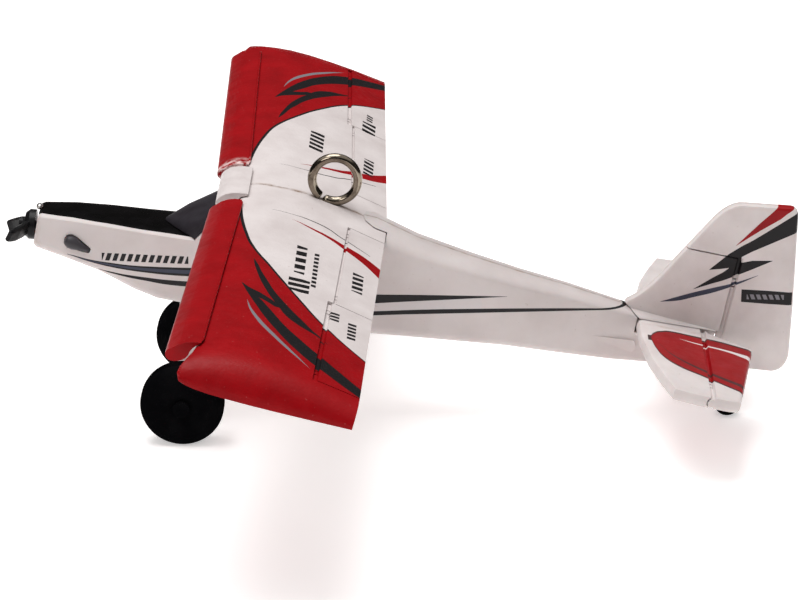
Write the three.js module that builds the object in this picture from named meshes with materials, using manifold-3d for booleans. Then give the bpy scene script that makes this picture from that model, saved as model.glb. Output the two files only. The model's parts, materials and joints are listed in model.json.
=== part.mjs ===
// A small moulded high-wing monoplane on three wheels, with a screw eye in its back to hang it by.
//
// Everything is drawn in the aircraft's own frame, in millimetres: +X forward, +Y to its left, +Z up,
// with the origin on the thrust line at the nose face. The last lines turn it nose-up onto its wheels.

import * as THREE from 'three';
import { mergeVertices } from 'three/addons/utils/BufferGeometryUtils.js';
import Module from 'manifold-3d';

const wasm = await Module();
wasm.setup();
const rad = THREE.MathUtils.degToRad;

// Driving sizes of the whole aircraft.
const groundAngle = 11;
const halfSpan = 70.6;
const wingChord = 21.7;
const mainWheelRadius = 6.04;
const tailWheelRadius = 1.85;
const stabHalfSpan = 27;
const finTop = 24.9;

// Clearances.
const seamGap = 0.12;
const pinClearance = 0.07;
const runningClearance = 0.14;
const surfaceGap = 0.2;

// Wing.
const wingPlace = { x: -28.1, z: 11.6, incidence: 5 };
const sweepPerSpan = 0.03;
const wingThickness = 0.115;
const wingCamber = 0.02;
const trailingHalfThickness = 0.36;
const tipCrease = halfSpan - 3.6;
const tipDroop = 3.1;
const slatRoot = 7.8;
const fairingHalfWidth = 5.9;
const slatEnd = halfSpan - 6.4;
const slatNose = -3.75;
const flapRoot = 7.6;
const surfaceSplit = 38.4;
const aileronEnd = tipCrease - 0.8;
const flapAxis = 16.35;
const aileronAxis = 15.55;
const aileronTravel = { up: 20, down: 16 };
const flapTravel = { up: 1, down: 35 };

// Hinge wires and the knuckles that carry them.
const noseRadius = 0.6;
const hingeWireRadius = 0.22;
const knuckleWidth = 1.0;
const lipSetback = 0.35;

// Fuselage: one row per station, going aft from the nose face. Each row holds its distance, half width,
// keel height, shoulder height, crown height, keel corner radius, and how round its top is: 1 is an
// ellipse, and less is flatter with tighter shoulders.
const noseStations = [
  [0, 3.0, -2.45, 1.7, 2.5, 1.2, 0.6],
  [-0.5, 3.35, -2.75, 1.8, 2.75, 1.3, 0.6],
  [-5, 4.1, -3.25, 2.3, 3.4, 1.5, 0.55],
  [-10, 4.75, -4.0, 2.7, 3.85, 1.7, 0.55],
  [-15.5, 5.25, -5.6, 3.05, 4.2, 1.9, 0.55],
  [-19, 5.55, -6.25, 3.3, 4.5, 2.0, 0.55],
  [-22.9, 5.8, -6.15, 3.6, 4.75, 2.0, 0.55],
];
// The belly is flat from behind the legs to under the trailing edge.
const bellyFront = -28;
const bellySlope = 0.034;
const belly = x => -6.15 + bellySlope * Math.max(bellyFront - x, 0);
const cabinStations = [
  [-23, 5.8, belly(-23), 5.2, 8.0, 2.0, 0.6],
  [-24.5, 5.85, belly(-24.5), 6.9, 9.0, 2.0, 0.6],
  [-26, 5.9, belly(-26), 8.6, 10.0, 2.0, 0.6],
  [bellyFront, 5.9, belly(bellyFront), 8.9, 10.6, 2.0, 0.6],
  [-38, 5.9, belly(-38), 8.9, 11.4, 2.0, 0.7],
  [-48, 5.4, belly(-48), 8.2, 11.1, 2.0, 0.85],
  [-50, 5.15, -5.45, 7.8, 10.6, 1.9, 0.9],
  [-54.5, 4.7, -5.0, 7.2, 9.4, 1.8, 0.95],
  [-62, 4.15, -4.3, 6.5, 8.3, 1.6, 1],
  [-70, 3.6, -3.55, 5.8, 7.3, 1.4, 1],
  [-77.5, 3.1, -3.2, 5.3, 6.65, 1.2, 1],
  [-85.5, 2.5, -2.75, 4.6, 5.65, 1.0, 1],
  [-92, 2.0, -2.1, 4.35, 5.15, 0.8, 1],
  [-99.7, 1.35, -1.3, 4.2, 4.75, 0.5, 1],
];
const wallThickness = 1.1;
const hollowEnd = -84;

// The hatch fills the top of the nose: its edge line from above, as [x, y], and its thickness.
const hatchEdge = [[2, 2.0], [-0.5, 2.4], [-3, 2.95], [-8.2, 3.75], [-15, 4.45], [-23.2, 4.95]];
const hatchDepth = 1.1;

// Windshield rows, in the same form as the fuselage's.
const windshieldStations = [
  [-18.1, 0.5, 2.8, 3.9, 4.75, 0.2, 0.7],
  [-19.5, 2.6, 2.8, 4.2, 5.75, 0.3, 0.65],
  [-21, 4.2, 2.8, 4.5, 6.85, 0.3, 0.6],
  [-23, 5.8, 2.8, 5.2, 8.0, 0.3, 0.6],
  [-24.5, 5.85, 2.8, 6.9, 9.0, 0.3, 0.6],
  [-26, 5.9, 2.8, 8.6, 10.0, 0.3, 0.6],
  [-28, 5.9, 2.8, 8.9, 10.6, 0.3, 0.6],
];
const pillarLine = [[-22.9, 4.65], [-26.2, 9.5], [-27.2, 13]];

// Tail.
const stabTopHeight = 4.4;
const tailPlateThickness = 2.0;
const elevatorAxis = -97.9;
const elevatorTravel = { up: 22, down: 18 };
const rudderAxis = -100.7;
const rudderTravel = 25;
const hornHeight = 16.2;

// Undercarriage.
const mainAxle = { x: -25.65, z: -17.59, radius: 0.6 };
const mainWheel = { width: 4.6, centre: 13.5, shoulder: 1.4 };
const tailAxle = { x: -104.3, radius: 0.35 };
const tailWheelWidth = 2.0;

// Screw eye.
const eye = {
  x: -40.95, z: 15.55, loopRadius: 3.29, wireRadius: 0.67, loopStart: -57, loopTurn: 338,
  shankShift: 0.6, depth: 6.5,
};

// Propeller.
const propeller = { x: 0.25, z: -0.2, reach: 5.2, chord: 2.6, thickness: 1.0, pitch: 22 };
// The blades lean forward and stand unevenly round the hub: each one's angle and lean.
const blades = [{ angle: -4, lean: 2.6 }, { angle: 207, lean: 3.6 }];
const downThrust = 7;

const plastic = (color, roughness) => new THREE.MeshStandardMaterial({ color, roughness, metalness: 0 });
const metal = (color, roughness) => new THREE.MeshStandardMaterial({ color, roughness, metalness: 1 });
const white = plastic(0xe8e5e3, 0.4);
const red = plastic(0xb01318, 0.38);
const black = plastic(0x141314, 0.3);
const tyreBlack = plastic(0x0c0c0d, 0.65);
const slate = plastic(0x4c4b52, 0.35);
const nickel = metal(0xa59d92, 0.15);
const steel = metal(0x8e8e90, 0.3);

// ---- Solids ----

// A closed solid from a three.js geometry, moved by an optional matrix.
function solid(geometry, matrix) {
  const bare = geometry.clone();
  bare.deleteAttribute('normal');
  bare.deleteAttribute('uv');
  if (matrix) bare.applyMatrix4(matrix);
  const merged = mergeVertices(bare, 1e-5);
  const vertProperties = new Float32Array(merged.attributes.position.array);
  const triVerts = new Uint32Array(merged.index.array);
  const made = new wasm.Manifold(new wasm.Mesh({ numProp: 3, vertProperties, triVerts }));
  return made;
}

function geometryOf(manifold) {
  const mesh = manifold.getMesh();
  const geometry = new THREE.BufferGeometry();
  geometry.setAttribute('position', new THREE.BufferAttribute(new Float32Array(mesh.vertProperties), 3));
  geometry.setIndex(new THREE.BufferAttribute(new Uint32Array(mesh.triVerts), 1));
  return geometry;
}

function turned(manifold, matrix) {
  return manifold.transform(matrix.elements);
}

// A skin through rings of equal length, closed at both ends.
function loft(rings) {
  const count = rings[0].length;
  const positions = rings.flat(2);
  const index = [];
  for (let r = 0; r < rings.length - 1; r++) {
    for (let i = 0; i < count; i++) {
      const a = r * count + i;
      const b = r * count + (i + 1) % count;
      index.push(a, b, b + count, a, b + count, a + count);
    }
  }
  const capEnd = (ring, offset, flip) => {
    const xs = ring.map(p => p[0]);
    const spread = Math.max(...xs) - Math.min(...xs);
    const flat = ring.map(p => (spread < 1e-6 ? new THREE.Vector2(p[1], p[2]) : new THREE.Vector2(p[0], p[2])));
    const along = new THREE.Vector2();
    const clockwise = THREE.ShapeUtils.isClockWise(flat);
    for (const [a, b, c] of THREE.ShapeUtils.triangulateShape(flat, [])) {
      const ahead = flat[b].clone().sub(flat[a]).cross(along.copy(flat[c]).sub(flat[a])) < 0;
      if (ahead === clockwise === flip) index.push(offset + a, offset + b, offset + c);
      else index.push(offset + a, offset + c, offset + b);
    }
  };
  capEnd(rings[0], 0, false);
  capEnd(rings[rings.length - 1], (rings.length - 1) * count, true);
  const geometry = new THREE.BufferGeometry();
  geometry.setAttribute('position', new THREE.Float32BufferAttribute(positions, 3));
  geometry.setIndex(index);
  let made = solid(geometry);
  if (made.volume() < 0) {
    for (let i = 0; i < index.length; i += 3) [index[i + 1], index[i + 2]] = [index[i + 2], index[i + 1]];
    geometry.setIndex(index);
    made = solid(geometry);
  }
  return made;
}

function box(x0, x1, y0, y1, z0, z1) {
  const geometry = new THREE.BoxGeometry(x1 - x0, y1 - y0, z1 - z0);
  geometry.translate((x0 + x1) / 2, (y0 + y1) / 2, (z0 + z1) / 2);
  return solid(geometry);
}

// An outline in the XZ plane, given as [x, z], carried from y0 to y1.
function sidePrism(outline, y0, y1) {
  const shape = new THREE.Shape(outline.map(([x, z]) => new THREE.Vector2(x, z)));
  const geometry = new THREE.ExtrudeGeometry(shape, { depth: y1 - y0, bevelEnabled: false });
  geometry.rotateX(Math.PI / 2);
  geometry.translate(0, y1, 0);
  return solid(geometry);
}

function rodAlongY(x, z, radius, y0, y1, segments = 16) {
  const geometry = new THREE.CylinderGeometry(radius, radius, y1 - y0, segments);
  geometry.translate(x, (y0 + y1) / 2, z);
  return solid(geometry);
}

function rodAlongZ(x, y, radius, z0, z1, segments = 16) {
  const geometry = new THREE.CylinderGeometry(radius, radius, z1 - z0, segments);
  geometry.rotateX(Math.PI / 2);
  geometry.translate(x, y, (z0 + z1) / 2);
  return solid(geometry);
}

function rodAlongX(y, z, radius, x0, x1, segments = 16) {
  const geometry = new THREE.CylinderGeometry(radius, radius, x1 - x0, segments);
  geometry.rotateZ(Math.PI / 2);
  geometry.translate((x0 + x1) / 2, y, z);
  return solid(geometry);
}

// A flat plate with rounded edges: an outline [u, v] given in its own plane, half thickness each way.
function roundedPlate(shape, thickness, edge) {
  const geometry = new THREE.ExtrudeGeometry(shape, {
    depth: thickness - 2 * edge, bevelEnabled: true, bevelThickness: edge, bevelSize: edge,
    bevelOffset: -edge, bevelSegments: 2, curveSegments: 6,
  });
  geometry.translate(0, 0, -(thickness - 2 * edge) / 2);
  return geometry;
}

const airframe = new THREE.Group();
const wingFrame = new THREE.Group();
wingFrame.position.set(wingPlace.x, 0, wingPlace.z);
wingFrame.rotation.y = -rad(wingPlace.incidence);
wingFrame.updateMatrix();
airframe.add(wingFrame);

function add(parent, name, manifold, material, position = [0, 0, 0]) {
  const mesh = new THREE.Mesh(geometryOf(manifold), material);
  mesh.name = name;
  mesh.position.set(...position);
  parent.add(mesh);
  return mesh;
}

const mirrorY = new THREE.Matrix4().makeScale(1, -1, 1);
const onSide = (manifold, side) => (side > 0 ? manifold : turned(manifold, mirrorY));
const sides = [['left', 1], ['right', -1]];

// ---- Fuselage ----

function fuselageRing([x, halfWidth, keel, shoulder, crown, corner, roundness]) {
  const half = [];
  for (let i = 0; i <= 3; i++) {
    const t = rad(90 * i / 3);
    half.push([halfWidth - corner + corner * Math.sin(t), keel + corner - corner * Math.cos(t)]);
  }
  for (let i = 0; i <= 6; i++) {
    const t = rad(90 * i / 6);
    const out = i === 6 ? 0 : Math.cos(t) ** roundness;
    half.push([halfWidth * out, shoulder + (crown - shoulder) * Math.sin(t) ** roundness]);
  }
  const port = half.slice(0, -1).reverse().map(([y, z]) => [x, -y, z]);
  return [...half.map(([y, z]) => [x, y, z]), ...port];
}

const inset = wall => ([x, w, keel, shoulder, crown, corner, roundness]) =>
  [x, w - wall, keel + wall, shoulder - wall * 0.5, crown - wall, Math.max(corner - wall * 0.6, 0.2), roundness];

const skin = loft([...noseStations, ...cabinStations].map(fuselageRing));
const hollowStations = [...noseStations.slice(2), ...cabinStations].filter(([x]) => x > hollowEnd);
hollowStations.unshift([-1.8, 3.6, -2.85, 1.9, 3.0, 1.35, 0.55]);
const hollow = loft(hollowStations.map(inset(wallThickness)).map(fuselageRing));
const deck = grow => loft(noseStations.map(inset(-grow)).map(fuselageRing));

// The hatch's plug: everything within its edge line and less than its thickness below the crown.
function hatchPlug(grow) {
  const edge = hatchEdge.map(([x, y]) => [x, y + grow]);
  const plan = new THREE.Shape([...edge, ...edge.slice().reverse().map(([x, y]) => [x, -y])]
    .map(([x, y]) => new THREE.Vector2(x, y)));
  const column = solid(new THREE.ExtrudeGeometry(plan, { depth: 12, bevelEnabled: false }));
  const floor = noseStations.map(([x, , , , crown]) => [x, crown - hatchDepth - grow]);
  return column.intersect(sidePrism(
    [[2, floor[0][1]], ...floor, [-23.2, floor[floor.length - 1][1]], [-23.2, 12], [2, 12]], -12, 12));
}

const aheadOfPillar = shift => sidePrism(
  [[-15, 2.6], [-22.9, 2.6], ...pillarLine.map(([x, z]) => [x + shift, z]), [-15, 13]], -12, 12);

// ---- Wing section and solid, in the wing's own frame ----

function sectionHeights(u) {
  const spread = 5 * wingThickness * (0.2969 * Math.sqrt(u) - 0.126 * u - 0.3516 * u ** 2
    + 0.2843 * u ** 3 - 0.1036 * u ** 4);
  const rise = 0.4;
  const camber = u < rise
    ? wingCamber / rise ** 2 * (2 * rise * u - u ** 2)
    : wingCamber / (1 - rise) ** 2 * (1 - 2 * rise + 2 * rise * u - u ** 2);
  const trailing = trailingHalfThickness * u;
  return [(camber + spread) * wingChord + trailing, (camber - spread) * wingChord - trailing];
}

// Stations along the chord, closer together at the leading edge.
const chordSteps = [0, 0.012, 0.04, 0.09, 0.17, 0.28, 0.42, 0.58, 0.76, 1];

// One closed ring round the section: over the top from the leading edge, back underneath.
function wingRing(span, grow = 0, tipTurn = 0) {
  const ring = [];
  const droop = Math.min(Math.max((span - (tipCrease - 4)) / 7.6, 0), 1) ** 1.6;
  const fall = 1 - Math.cos(tipTurn);
  const place = (u, height) => {
    const nose = (1 - u) * (1.4 * fall - 2.4 * droop);
    const aft = u * wingChord + nose + (u * 2 - 1) * grow;
    ring.push([-aft + sweepPerSpan * span, span, height]);
  };
  const lowest = u => sectionHeights(u)[1] - grow - tipDroop * 0.62 * droop;
  const highest = u => {
    const top = sectionHeights(u)[0] + grow - 1.1 * droop * (1 - u);
    return top + (lowest(u) + 0.25 - top) * fall;
  };
  for (const u of chordSteps) place(u, u === 0 ? (highest(0) + lowest(0)) / 2 : highest(u));
  for (const u of chordSteps.slice(1).reverse()) place(u, lowest(u));
  return ring;
}

function wingSolid(root, grow = 0) {
  const rings = [wingRing(root, grow)];
  for (const span of [tipCrease - 4, tipCrease - 2, tipCrease]) rings.push(wingRing(span, grow));
  for (const turn of [30, 55, 75, 90]) {
    const t = rad(turn);
    rings.push(wingRing(tipCrease + (halfSpan - tipCrease) * Math.sin(t), grow, t));
  }
  return loft(rings);
}

const shear = new THREE.Matrix4().set(1, sweepPerSpan, 0, 0, 0, 1, 0, 0, 0, 0, 1, 0, 0, 0, 0, 1);
const swept = manifold => turned(manifold, shear);

// The middle of the section's thickness, where a hinge wire runs.
const middleHeight = aft => (sectionHeights(aft / wingChord)[0] + sectionHeights(aft / wingChord)[1]) / 2;

// The region that belongs to a hinged surface behind an axis. Its two front faces are planes through
// the axis, leaned back by the travel each way, so that they never pass the upright plane.
function behindAxis(axisX, axisZ, travel, length, y0, y1) {
  const reach = 4;
  const lean = angle => reach * Math.tan(rad(angle + 2));
  const outline = [[axisX, axisZ], [axisX - lean(travel.up), axisZ + reach],
    [axisX - length, axisZ + reach], [axisX - length, axisZ - reach],
    [axisX - lean(travel.down), axisZ - reach]];
  return sidePrism(outline, y0, y1).add(rodAlongY(axisX, axisZ, noseRadius, y0, y1));
}

function knuckle(axisX, axisZ, y, grow) {
  const half = knuckleWidth / 2 + grow;
  const radius = noseRadius + grow * 0.4;
  return rodAlongY(axisX, axisZ, radius, y - half, y + half)
    .add(box(axisX, axisX + 1.6 + grow, y - half, y + half, axisZ - 0.42 - grow, axisZ + 0.42 + grow));
}

// Cuts one hinged surface out of a host solid. Both results come back in the host's frame.
function hinge(host, isSwept, { axisX, axisZ, travel, length, y0, y1, knuckles, boreEnd = y1 + 1 }) {
  const end = 0.3;
  let cavity = box(axisX - length, axisX + lipSetback, y0 - surfaceGap, y1 + surfaceGap, axisZ - 4, axisZ + 4);
  cavity = cavity.add(rodAlongY(axisX, axisZ, noseRadius + surfaceGap, y0 - surfaceGap, y1 + surfaceGap));
  let surface = behindAxis(axisX, axisZ, travel, length, y0, y1);
  let fixed = wasm.Manifold.difference(host, sweptIf(cavity, isSwept));
  surface = wasm.Manifold.intersection(host, sweptIf(surface, isSwept));
  for (const y of knuckles) {
    fixed = fixed.add(sweptIf(knuckle(axisX, axisZ, y, 0), isSwept));
    surface = surface.subtract(sweptIf(knuckle(axisX, axisZ, y, surfaceGap), isSwept));
  }
  const wire = radius => sweptIf(rodAlongY(axisX, axisZ, radius, y0 + end, y1 - end, 12), isSwept);
  fixed = fixed.subtract(sweptIf(
    rodAlongY(axisX, axisZ, hingeWireRadius + pinClearance + 0.03, y0, Math.min(y1, boreEnd), 12), isSwept));
  surface = surface.subtract(sweptIf(
    rodAlongY(axisX, axisZ, hingeWireRadius + pinClearance, y0 - 1, boreEnd, 12), isSwept));
  return { fixed, surface, wire: wire(hingeWireRadius) };
}

const sweptIf = (manifold, isSwept) => (isSwept ? swept(manifold) : manifold);

// ---- Screw eye ----

class EyePath extends THREE.Curve {
  getPoint(t) {
    const angle = rad(eye.loopStart + eye.loopTurn * t);
    return new THREE.Vector3(Math.cos(angle) * eye.loopRadius, 0, Math.sin(angle) * eye.loopRadius);
  }
}

function eyeScrew(grow) {
  const wire = new THREE.Shape();
  wire.absarc(0, 0, eye.wireRadius + grow, 0, Math.PI * 2);
  const loop = new THREE.ExtrudeGeometry(wire, {
    steps: 28, curveSegments: 5, bevelEnabled: false, extrudePath: new EyePath(),
  });
  const top = -eye.loopRadius + 0.2;
  const shank = rodAlongZ(eye.shankShift, 0, eye.wireRadius + grow, top - eye.depth - grow, top, 10);
  return solid(loop).add(shank);
}
const eyeRoom = turned(eyeScrew(seamGap), new THREE.Matrix4().makeTranslation(eye.x, 0, eye.z));

// ---- Wing pieces ----

const joiner = { aft: 6.6, radius: 0.8, reach: 16 };
const joinerHeight = middleHeight(joiner.aft);
const wingToAirframe = wingFrame.matrix;
const airframeToWing = wingToAirframe.clone().invert();

let panel = wingSolid(seamGap / 2);
const flapCut = hinge(panel, true, {
  axisX: -flapAxis, axisZ: middleHeight(flapAxis), travel: flapTravel, length: 7,
  y0: flapRoot, y1: surfaceSplit - surfaceGap / 2, knuckles: [flapRoot + 2.5, surfaceSplit - 3],
});
const aileronCut = hinge(flapCut.fixed, true, {
  axisX: -aileronAxis, axisZ: middleHeight(aileronAxis), travel: aileronTravel, length: 8,
  y0: surfaceSplit + surfaceGap / 2, y1: aileronEnd, knuckles: [surfaceSplit + 3, aileronEnd - 3],
});
panel = aileronCut.fixed;
panel = panel.subtract(rodAlongY(-joiner.aft, joinerHeight, joiner.radius + pinClearance, -1, joiner.reach + 0.3));
panel = panel.subtract(turned(eyeRoom, airframeToWing));

// The slat: a crescent ahead of the leading edge, its hollow back following the wing's nose.
const slatShape = new THREE.Shape();
slatShape.moveTo(0.45, 0.98);
slatShape.quadraticCurveTo(-1.7, 0.8, -3.0, -0.85);
slatShape.quadraticCurveTo(slatNose - 0.15, -1.55, -3.55, -2.15);
slatShape.quadraticCurveTo(-3.2, -2.7, -2.3, -2.45);
slatShape.quadraticCurveTo(-1.0, -2.1, -0.75, -1.2);
slatShape.quadraticCurveTo(-0.7, 0.2, 0.45, 0.7);
const slatOutline = slatShape.getPoints(4).map(p => [-p.x, p.y]);
const slatCorner = 1.6;
const slatPlan = new THREE.Shape();
slatPlan.moveTo(-1, slatRoot);
slatPlan.lineTo(-slatNose - slatCorner, slatRoot);
slatPlan.quadraticCurveTo(-slatNose + 0.3, slatRoot, -slatNose + 0.3, slatRoot + slatCorner);
slatPlan.lineTo(-slatNose + 0.3, slatEnd - slatCorner);
slatPlan.quadraticCurveTo(-slatNose + 0.3, slatEnd, -slatNose - slatCorner, slatEnd);
slatPlan.lineTo(-1, slatEnd);
const slatColumn = solid(new THREE.ExtrudeGeometry(slatPlan, { depth: 8, bevelEnabled: false, curveSegments: 4 }),
  new THREE.Matrix4().makeTranslation(0, 0, -4));
const slatBar = sidePrism(slatOutline.slice(0, -1), slatRoot, slatEnd).intersect(slatColumn);
const slat = swept(slatBar).subtract(wingSolid(-1, seamGap));

// The centre piece ahead of the wing, between the two slats.
const fairingShape = new THREE.Shape();
fairingShape.moveTo(0.9, 1.38);
fairingShape.quadraticCurveTo(-1.9, 1.15, -2.9, -0.2);
fairingShape.quadraticCurveTo(-3.5, -0.95, -3.2, -1.6);
fairingShape.lineTo(0.6, -1.6);
const fairingOutline = fairingShape.getPoints(4).map(p => [-p.x, p.y]);
const wingClear = wingSolid(-1, seamGap);
const wingClearBoth = wingClear.add(turned(wingClear, mirrorY));
const fairing = sidePrism(fairingOutline, -fairingHalfWidth, fairingHalfWidth).subtract(wingClearBoth);

for (const [label, side] of sides) {
  add(wingFrame, `wing_${label}`, onSide(panel, side), white);
  add(wingFrame, `slat_${label}`, onSide(slat, side), red);
  add(wingFrame, `flap_${label}`, onSide(flapCut.surface, side), white);
  add(wingFrame, `flap_wire_${label}`, onSide(flapCut.wire, side), steel);
  add(wingFrame, `aileron_${label}`, onSide(aileronCut.surface, side), red);
  add(wingFrame, `aileron_wire_${label}`, onSide(aileronCut.wire, side), steel);
}
add(wingFrame, 'centre_fairing', fairing, white);
const joinerRod = rodAlongY(-joiner.aft, joinerHeight, joiner.radius, -joiner.reach, joiner.reach);
add(wingFrame, 'wing_joiner', joinerRod, steel);

// ---- Tail surfaces ----

// The tailplane's half outline from the nose round to the trailing edge, as [x, y].
const stabOutline = [[-88.2, 0], [-88.4, 8], [-89.4, 15.5], [-90.9, 21.5]];
const stabTip = [[-92.4, stabHalfSpan - 0.6], [-96, stabHalfSpan], [-100.6, stabHalfSpan],
  [-101.9, stabHalfSpan - 0.4], [-102.2, stabHalfSpan - 2]];
const elevatorRoot = [[-105.2, 5.2], [-98.9, 1.9], [-98.9, 0]];
const stabPoints = [...stabOutline, ...stabTip, ...elevatorRoot];
const stabShape = new THREE.Shape([
  ...stabPoints, ...stabPoints.slice(1, -1).reverse().map(([x, y]) => [x, -y]),
].map(([x, y]) => new THREE.Vector2(x, y)));
const stabMiddle = stabTopHeight - tailPlateThickness / 2;
const stabPlate = solid(roundedPlate(stabShape, tailPlateThickness, 0.65),
  new THREE.Matrix4().makeTranslation(0, 0, stabMiddle));

// Elevators: the two halves share one wire through the tail.
const stabHalf = stabPlate.intersect(box(-110, -80, 0, 40, 0, 10));
const elevatorCut = hinge(stabHalf, false, {
  axisX: elevatorAxis, axisZ: stabMiddle, travel: elevatorTravel, length: 8,
  y0: 1.6, y1: stabHalfSpan + 1, knuckles: [6.5, stabHalfSpan - 5], boreEnd: stabHalfSpan - 1.3,
});
const stabFixedHalf = elevatorCut.fixed.intersect(box(elevatorAxis - noseRadius, -80, 0, 40, 0, 10));
const tab = { front: -90.5, back: -95, half: 0.6, foot: 0.4 };
const tabSlot = box(tab.back - seamGap, tab.front + seamGap, -tab.half - seamGap, tab.half + seamGap,
  tab.foot - seamGap, 8);
const wireRoom = rodAlongY(elevatorAxis, stabMiddle, 1.0, -3, 3);
const wireGap = wireRoom.add(box(elevatorAxis - 2, elevatorAxis + 0.4, -1.7, 1.7, 0, 8));
const stabWhole = stabFixedHalf.add(turned(stabFixedHalf, mirrorY)).subtract(tabSlot).subtract(wireGap);
add(airframe, 'stabilizer', stabWhole, white);
for (const [label, side] of sides) {
  add(airframe, `elevator_${label}`, onSide(elevatorCut.surface, side), white);
}
const elevatorWire = rodAlongY(elevatorAxis, stabMiddle, hingeWireRadius, -stabHalfSpan + 1.5, stabHalfSpan - 1.5, 12);
add(airframe, 'elevator_wire', elevatorWire, steel);

// Fin and rudder are drawn as one outline [x, z], then parted at the hinge and under the horn.
const finShape = new THREE.Shape();
finShape.moveTo(-85.2, stabTopHeight + 0.1);
finShape.lineTo(-86.2, 6.4);
finShape.quadraticCurveTo(-88.6, 8.2, -90.5, 11.9);
finShape.lineTo(-95.2, 20.4);
finShape.quadraticCurveTo(-97.2, 24.2, -99.6, finTop - 0.6);
finShape.lineTo(-106.2, finTop + 0.3);
finShape.quadraticCurveTo(-107.3, finTop + 0.3, -107.5, finTop - 0.8);
finShape.lineTo(-109.9, 11.3);
finShape.lineTo(-111.3, 2.8);
finShape.quadraticCurveTo(-111.3, 0.3, -109.4, -0.2);
finShape.lineTo(-99.9, -1.1);
const finPlate = solid(roundedPlate(finShape, tailPlateThickness, 0.6),
  new THREE.Matrix4().makeRotationX(Math.PI / 2));

// The rudder's hinge is the same cut with the Y axis stood up along Z.
const standUp = new THREE.Matrix4().makeRotationX(-Math.PI / 2);
const layDown = standUp.clone().invert();
const lying = turned(finPlate, standUp);
const rudderCut = hinge(lying, false, {
  axisX: rudderAxis, axisZ: 0, travel: { up: rudderTravel, down: rudderTravel }, length: 14,
  y0: -1.6, y1: hornHeight + 0.2, knuckles: [],
});
const hornBlock = box(-120, -80, -5, 5, hornHeight, 40);
let rudder = turned(rudderCut.surface, layDown).add(finPlate.intersect(hornBlock));
const lugs = [
  { z: 12.2, front: rudderAxis + 2.4 },
  { z: 0.9, front: rudderAxis + 2.4 },
];
function rudderLug({ z, front }, grow) {
  const half = knuckleWidth / 2 + grow;
  return rodAlongZ(rudderAxis, 0, noseRadius + grow * 0.4, z - half, z + half)
    .add(box(rudderAxis, front + grow, -0.42 - grow, 0.42 + grow, z - half, z + half));
}
for (const lug of lugs) rudder = rudder.subtract(rudderLug(lug, surfaceGap));
const rudderWireSpan = [-0.8, hornHeight + 3];
const rudderWireHole = rodAlongZ(rudderAxis, 0, hingeWireRadius + pinClearance, -3, rudderWireSpan[1] + 0.2, 12);
rudder = rudder.subtract(rudderWireHole);

const finSeam = shift => sidePrism([[-84.6 + shift, 6.9], [-88.5 + shift, stabTopHeight + 0.1 - shift],
  [-105, stabTopHeight + 0.1 - shift], [-105, 30], [-84.6 + shift, 30]], -10, 10);
let fin = turned(rudderCut.fixed, layDown).intersect(box(-120, -80, -5, 5, -5, hornHeight - surfaceGap));
fin = fin.add(skin.intersect(box(rudderAxis + noseRadius + surfaceGap, -80, -5, 5, 0, 20))).intersect(finSeam(0));
fin = fin.subtract(rodAlongZ(rudderAxis, 0, noseRadius + surfaceGap, -5, hornHeight));
fin = fin.add(rudderLug(lugs[0], 0));
fin = fin.add(box(tab.back, tab.front, -tab.half, tab.half, tab.foot, 6)).subtract(wireRoom);
const lugBore = rodAlongZ(rudderAxis, 0, hingeWireRadius + pinClearance + 0.03, -3, hornHeight + 3, 12);
fin = fin.subtract(lugBore);
add(airframe, 'fin', fin, white);

const tailStem = { x: -103.4, radius: 0.45, top: 2.6 };
rudder = rudder.subtract(rodAlongZ(tailStem.x, 0, tailStem.radius + pinClearance, -3, tailStem.top + 0.2, 12));
add(airframe, 'rudder', rudder, white);
add(airframe, 'rudder_wire', rodAlongZ(rudderAxis, 0, hingeWireRadius, ...rudderWireSpan, 12), steel);

// ---- Fuselage pieces ----

const wingRoom = turned(wingSolid(-1, seamGap + 0.03), wingToAirframe);
const fairingFloor = -1.6 - seamGap;
const fairingRoom = turned(sidePrism([[3.9, fairingFloor], [3.9, 4], [-1.5, 4], [-1.5, fairingFloor]], -9.5, 9.5),
  wingToAirframe);
const aboveWing = wingRoom.add(turned(wingRoom, mirrorY)).add(fairingRoom);
const stabRoom = box(-120, -88.1, -6, 6, stabMiddle - tailPlateThickness / 2 - seamGap, 12);
const windshieldSolid = loft(windshieldStations.map(fuselageRing));
const windshieldFoot = loft(windshieldStations.map(inset(-seamGap)).map(fuselageRing))
  .intersect(sidePrism([[-15, 4.6], [-23.5, 4.95], [-23.5, 12], [-15, 12]], -8, 8));
const windshield = windshieldSolid.intersect(aheadOfPillar(0)).subtract(deck(seamGap)).subtract(aboveWing);
add(airframe, 'windshield', windshield, slate);

const hatch = deck(0).intersect(hatchPlug(0)).intersect(box(-22.7, 2, -10, 10, 0, 12)).subtract(windshieldFoot);
const windowOutline = [[-25.2, 5.0], [-27.6, 8.4], [-40.5, 8.2], [-42.6, 5.0]];
const windowDepth = 0.7;
const windowBody = (grow, side) => {
  const outline = windowOutline.map(([x, z]) => [x + Math.sign(x + 34) * grow, z + Math.sign(z - 7) * grow]);
  return onSide(sidePrism(outline, 4, 9), side);
};
const skinUnder = loft([...noseStations, ...cabinStations].map(inset(windowDepth)).map(fuselageRing));
const skinUnderWindow = loft([...noseStations, ...cabinStations].map(inset(windowDepth + seamGap)).map(fuselageRing));

// Exhaust stubs: a teardrop lying along each side of the nose, its tail pointing down and aft.
const stubProfile = [[0, -2.3], [0.35, -2.1], [0.6, -1.0], [0.95, 0.2], [1.0, 0.9], [0.7, 1.5], [0, 1.8]];
function exhaustStub(grow, side) {
  const points = stubProfile.map(([r, l]) => new THREE.Vector2(r > 0 ? r + grow : 0, l + Math.sign(l) * grow));
  const geometry = new THREE.LatheGeometry(points, 12);
  geometry.rotateZ(-Math.PI / 2);
  geometry.rotateY(-rad(14));
  geometry.translate(-6.1, side * 4.35, -0.35);
  return solid(geometry);
}

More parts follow.
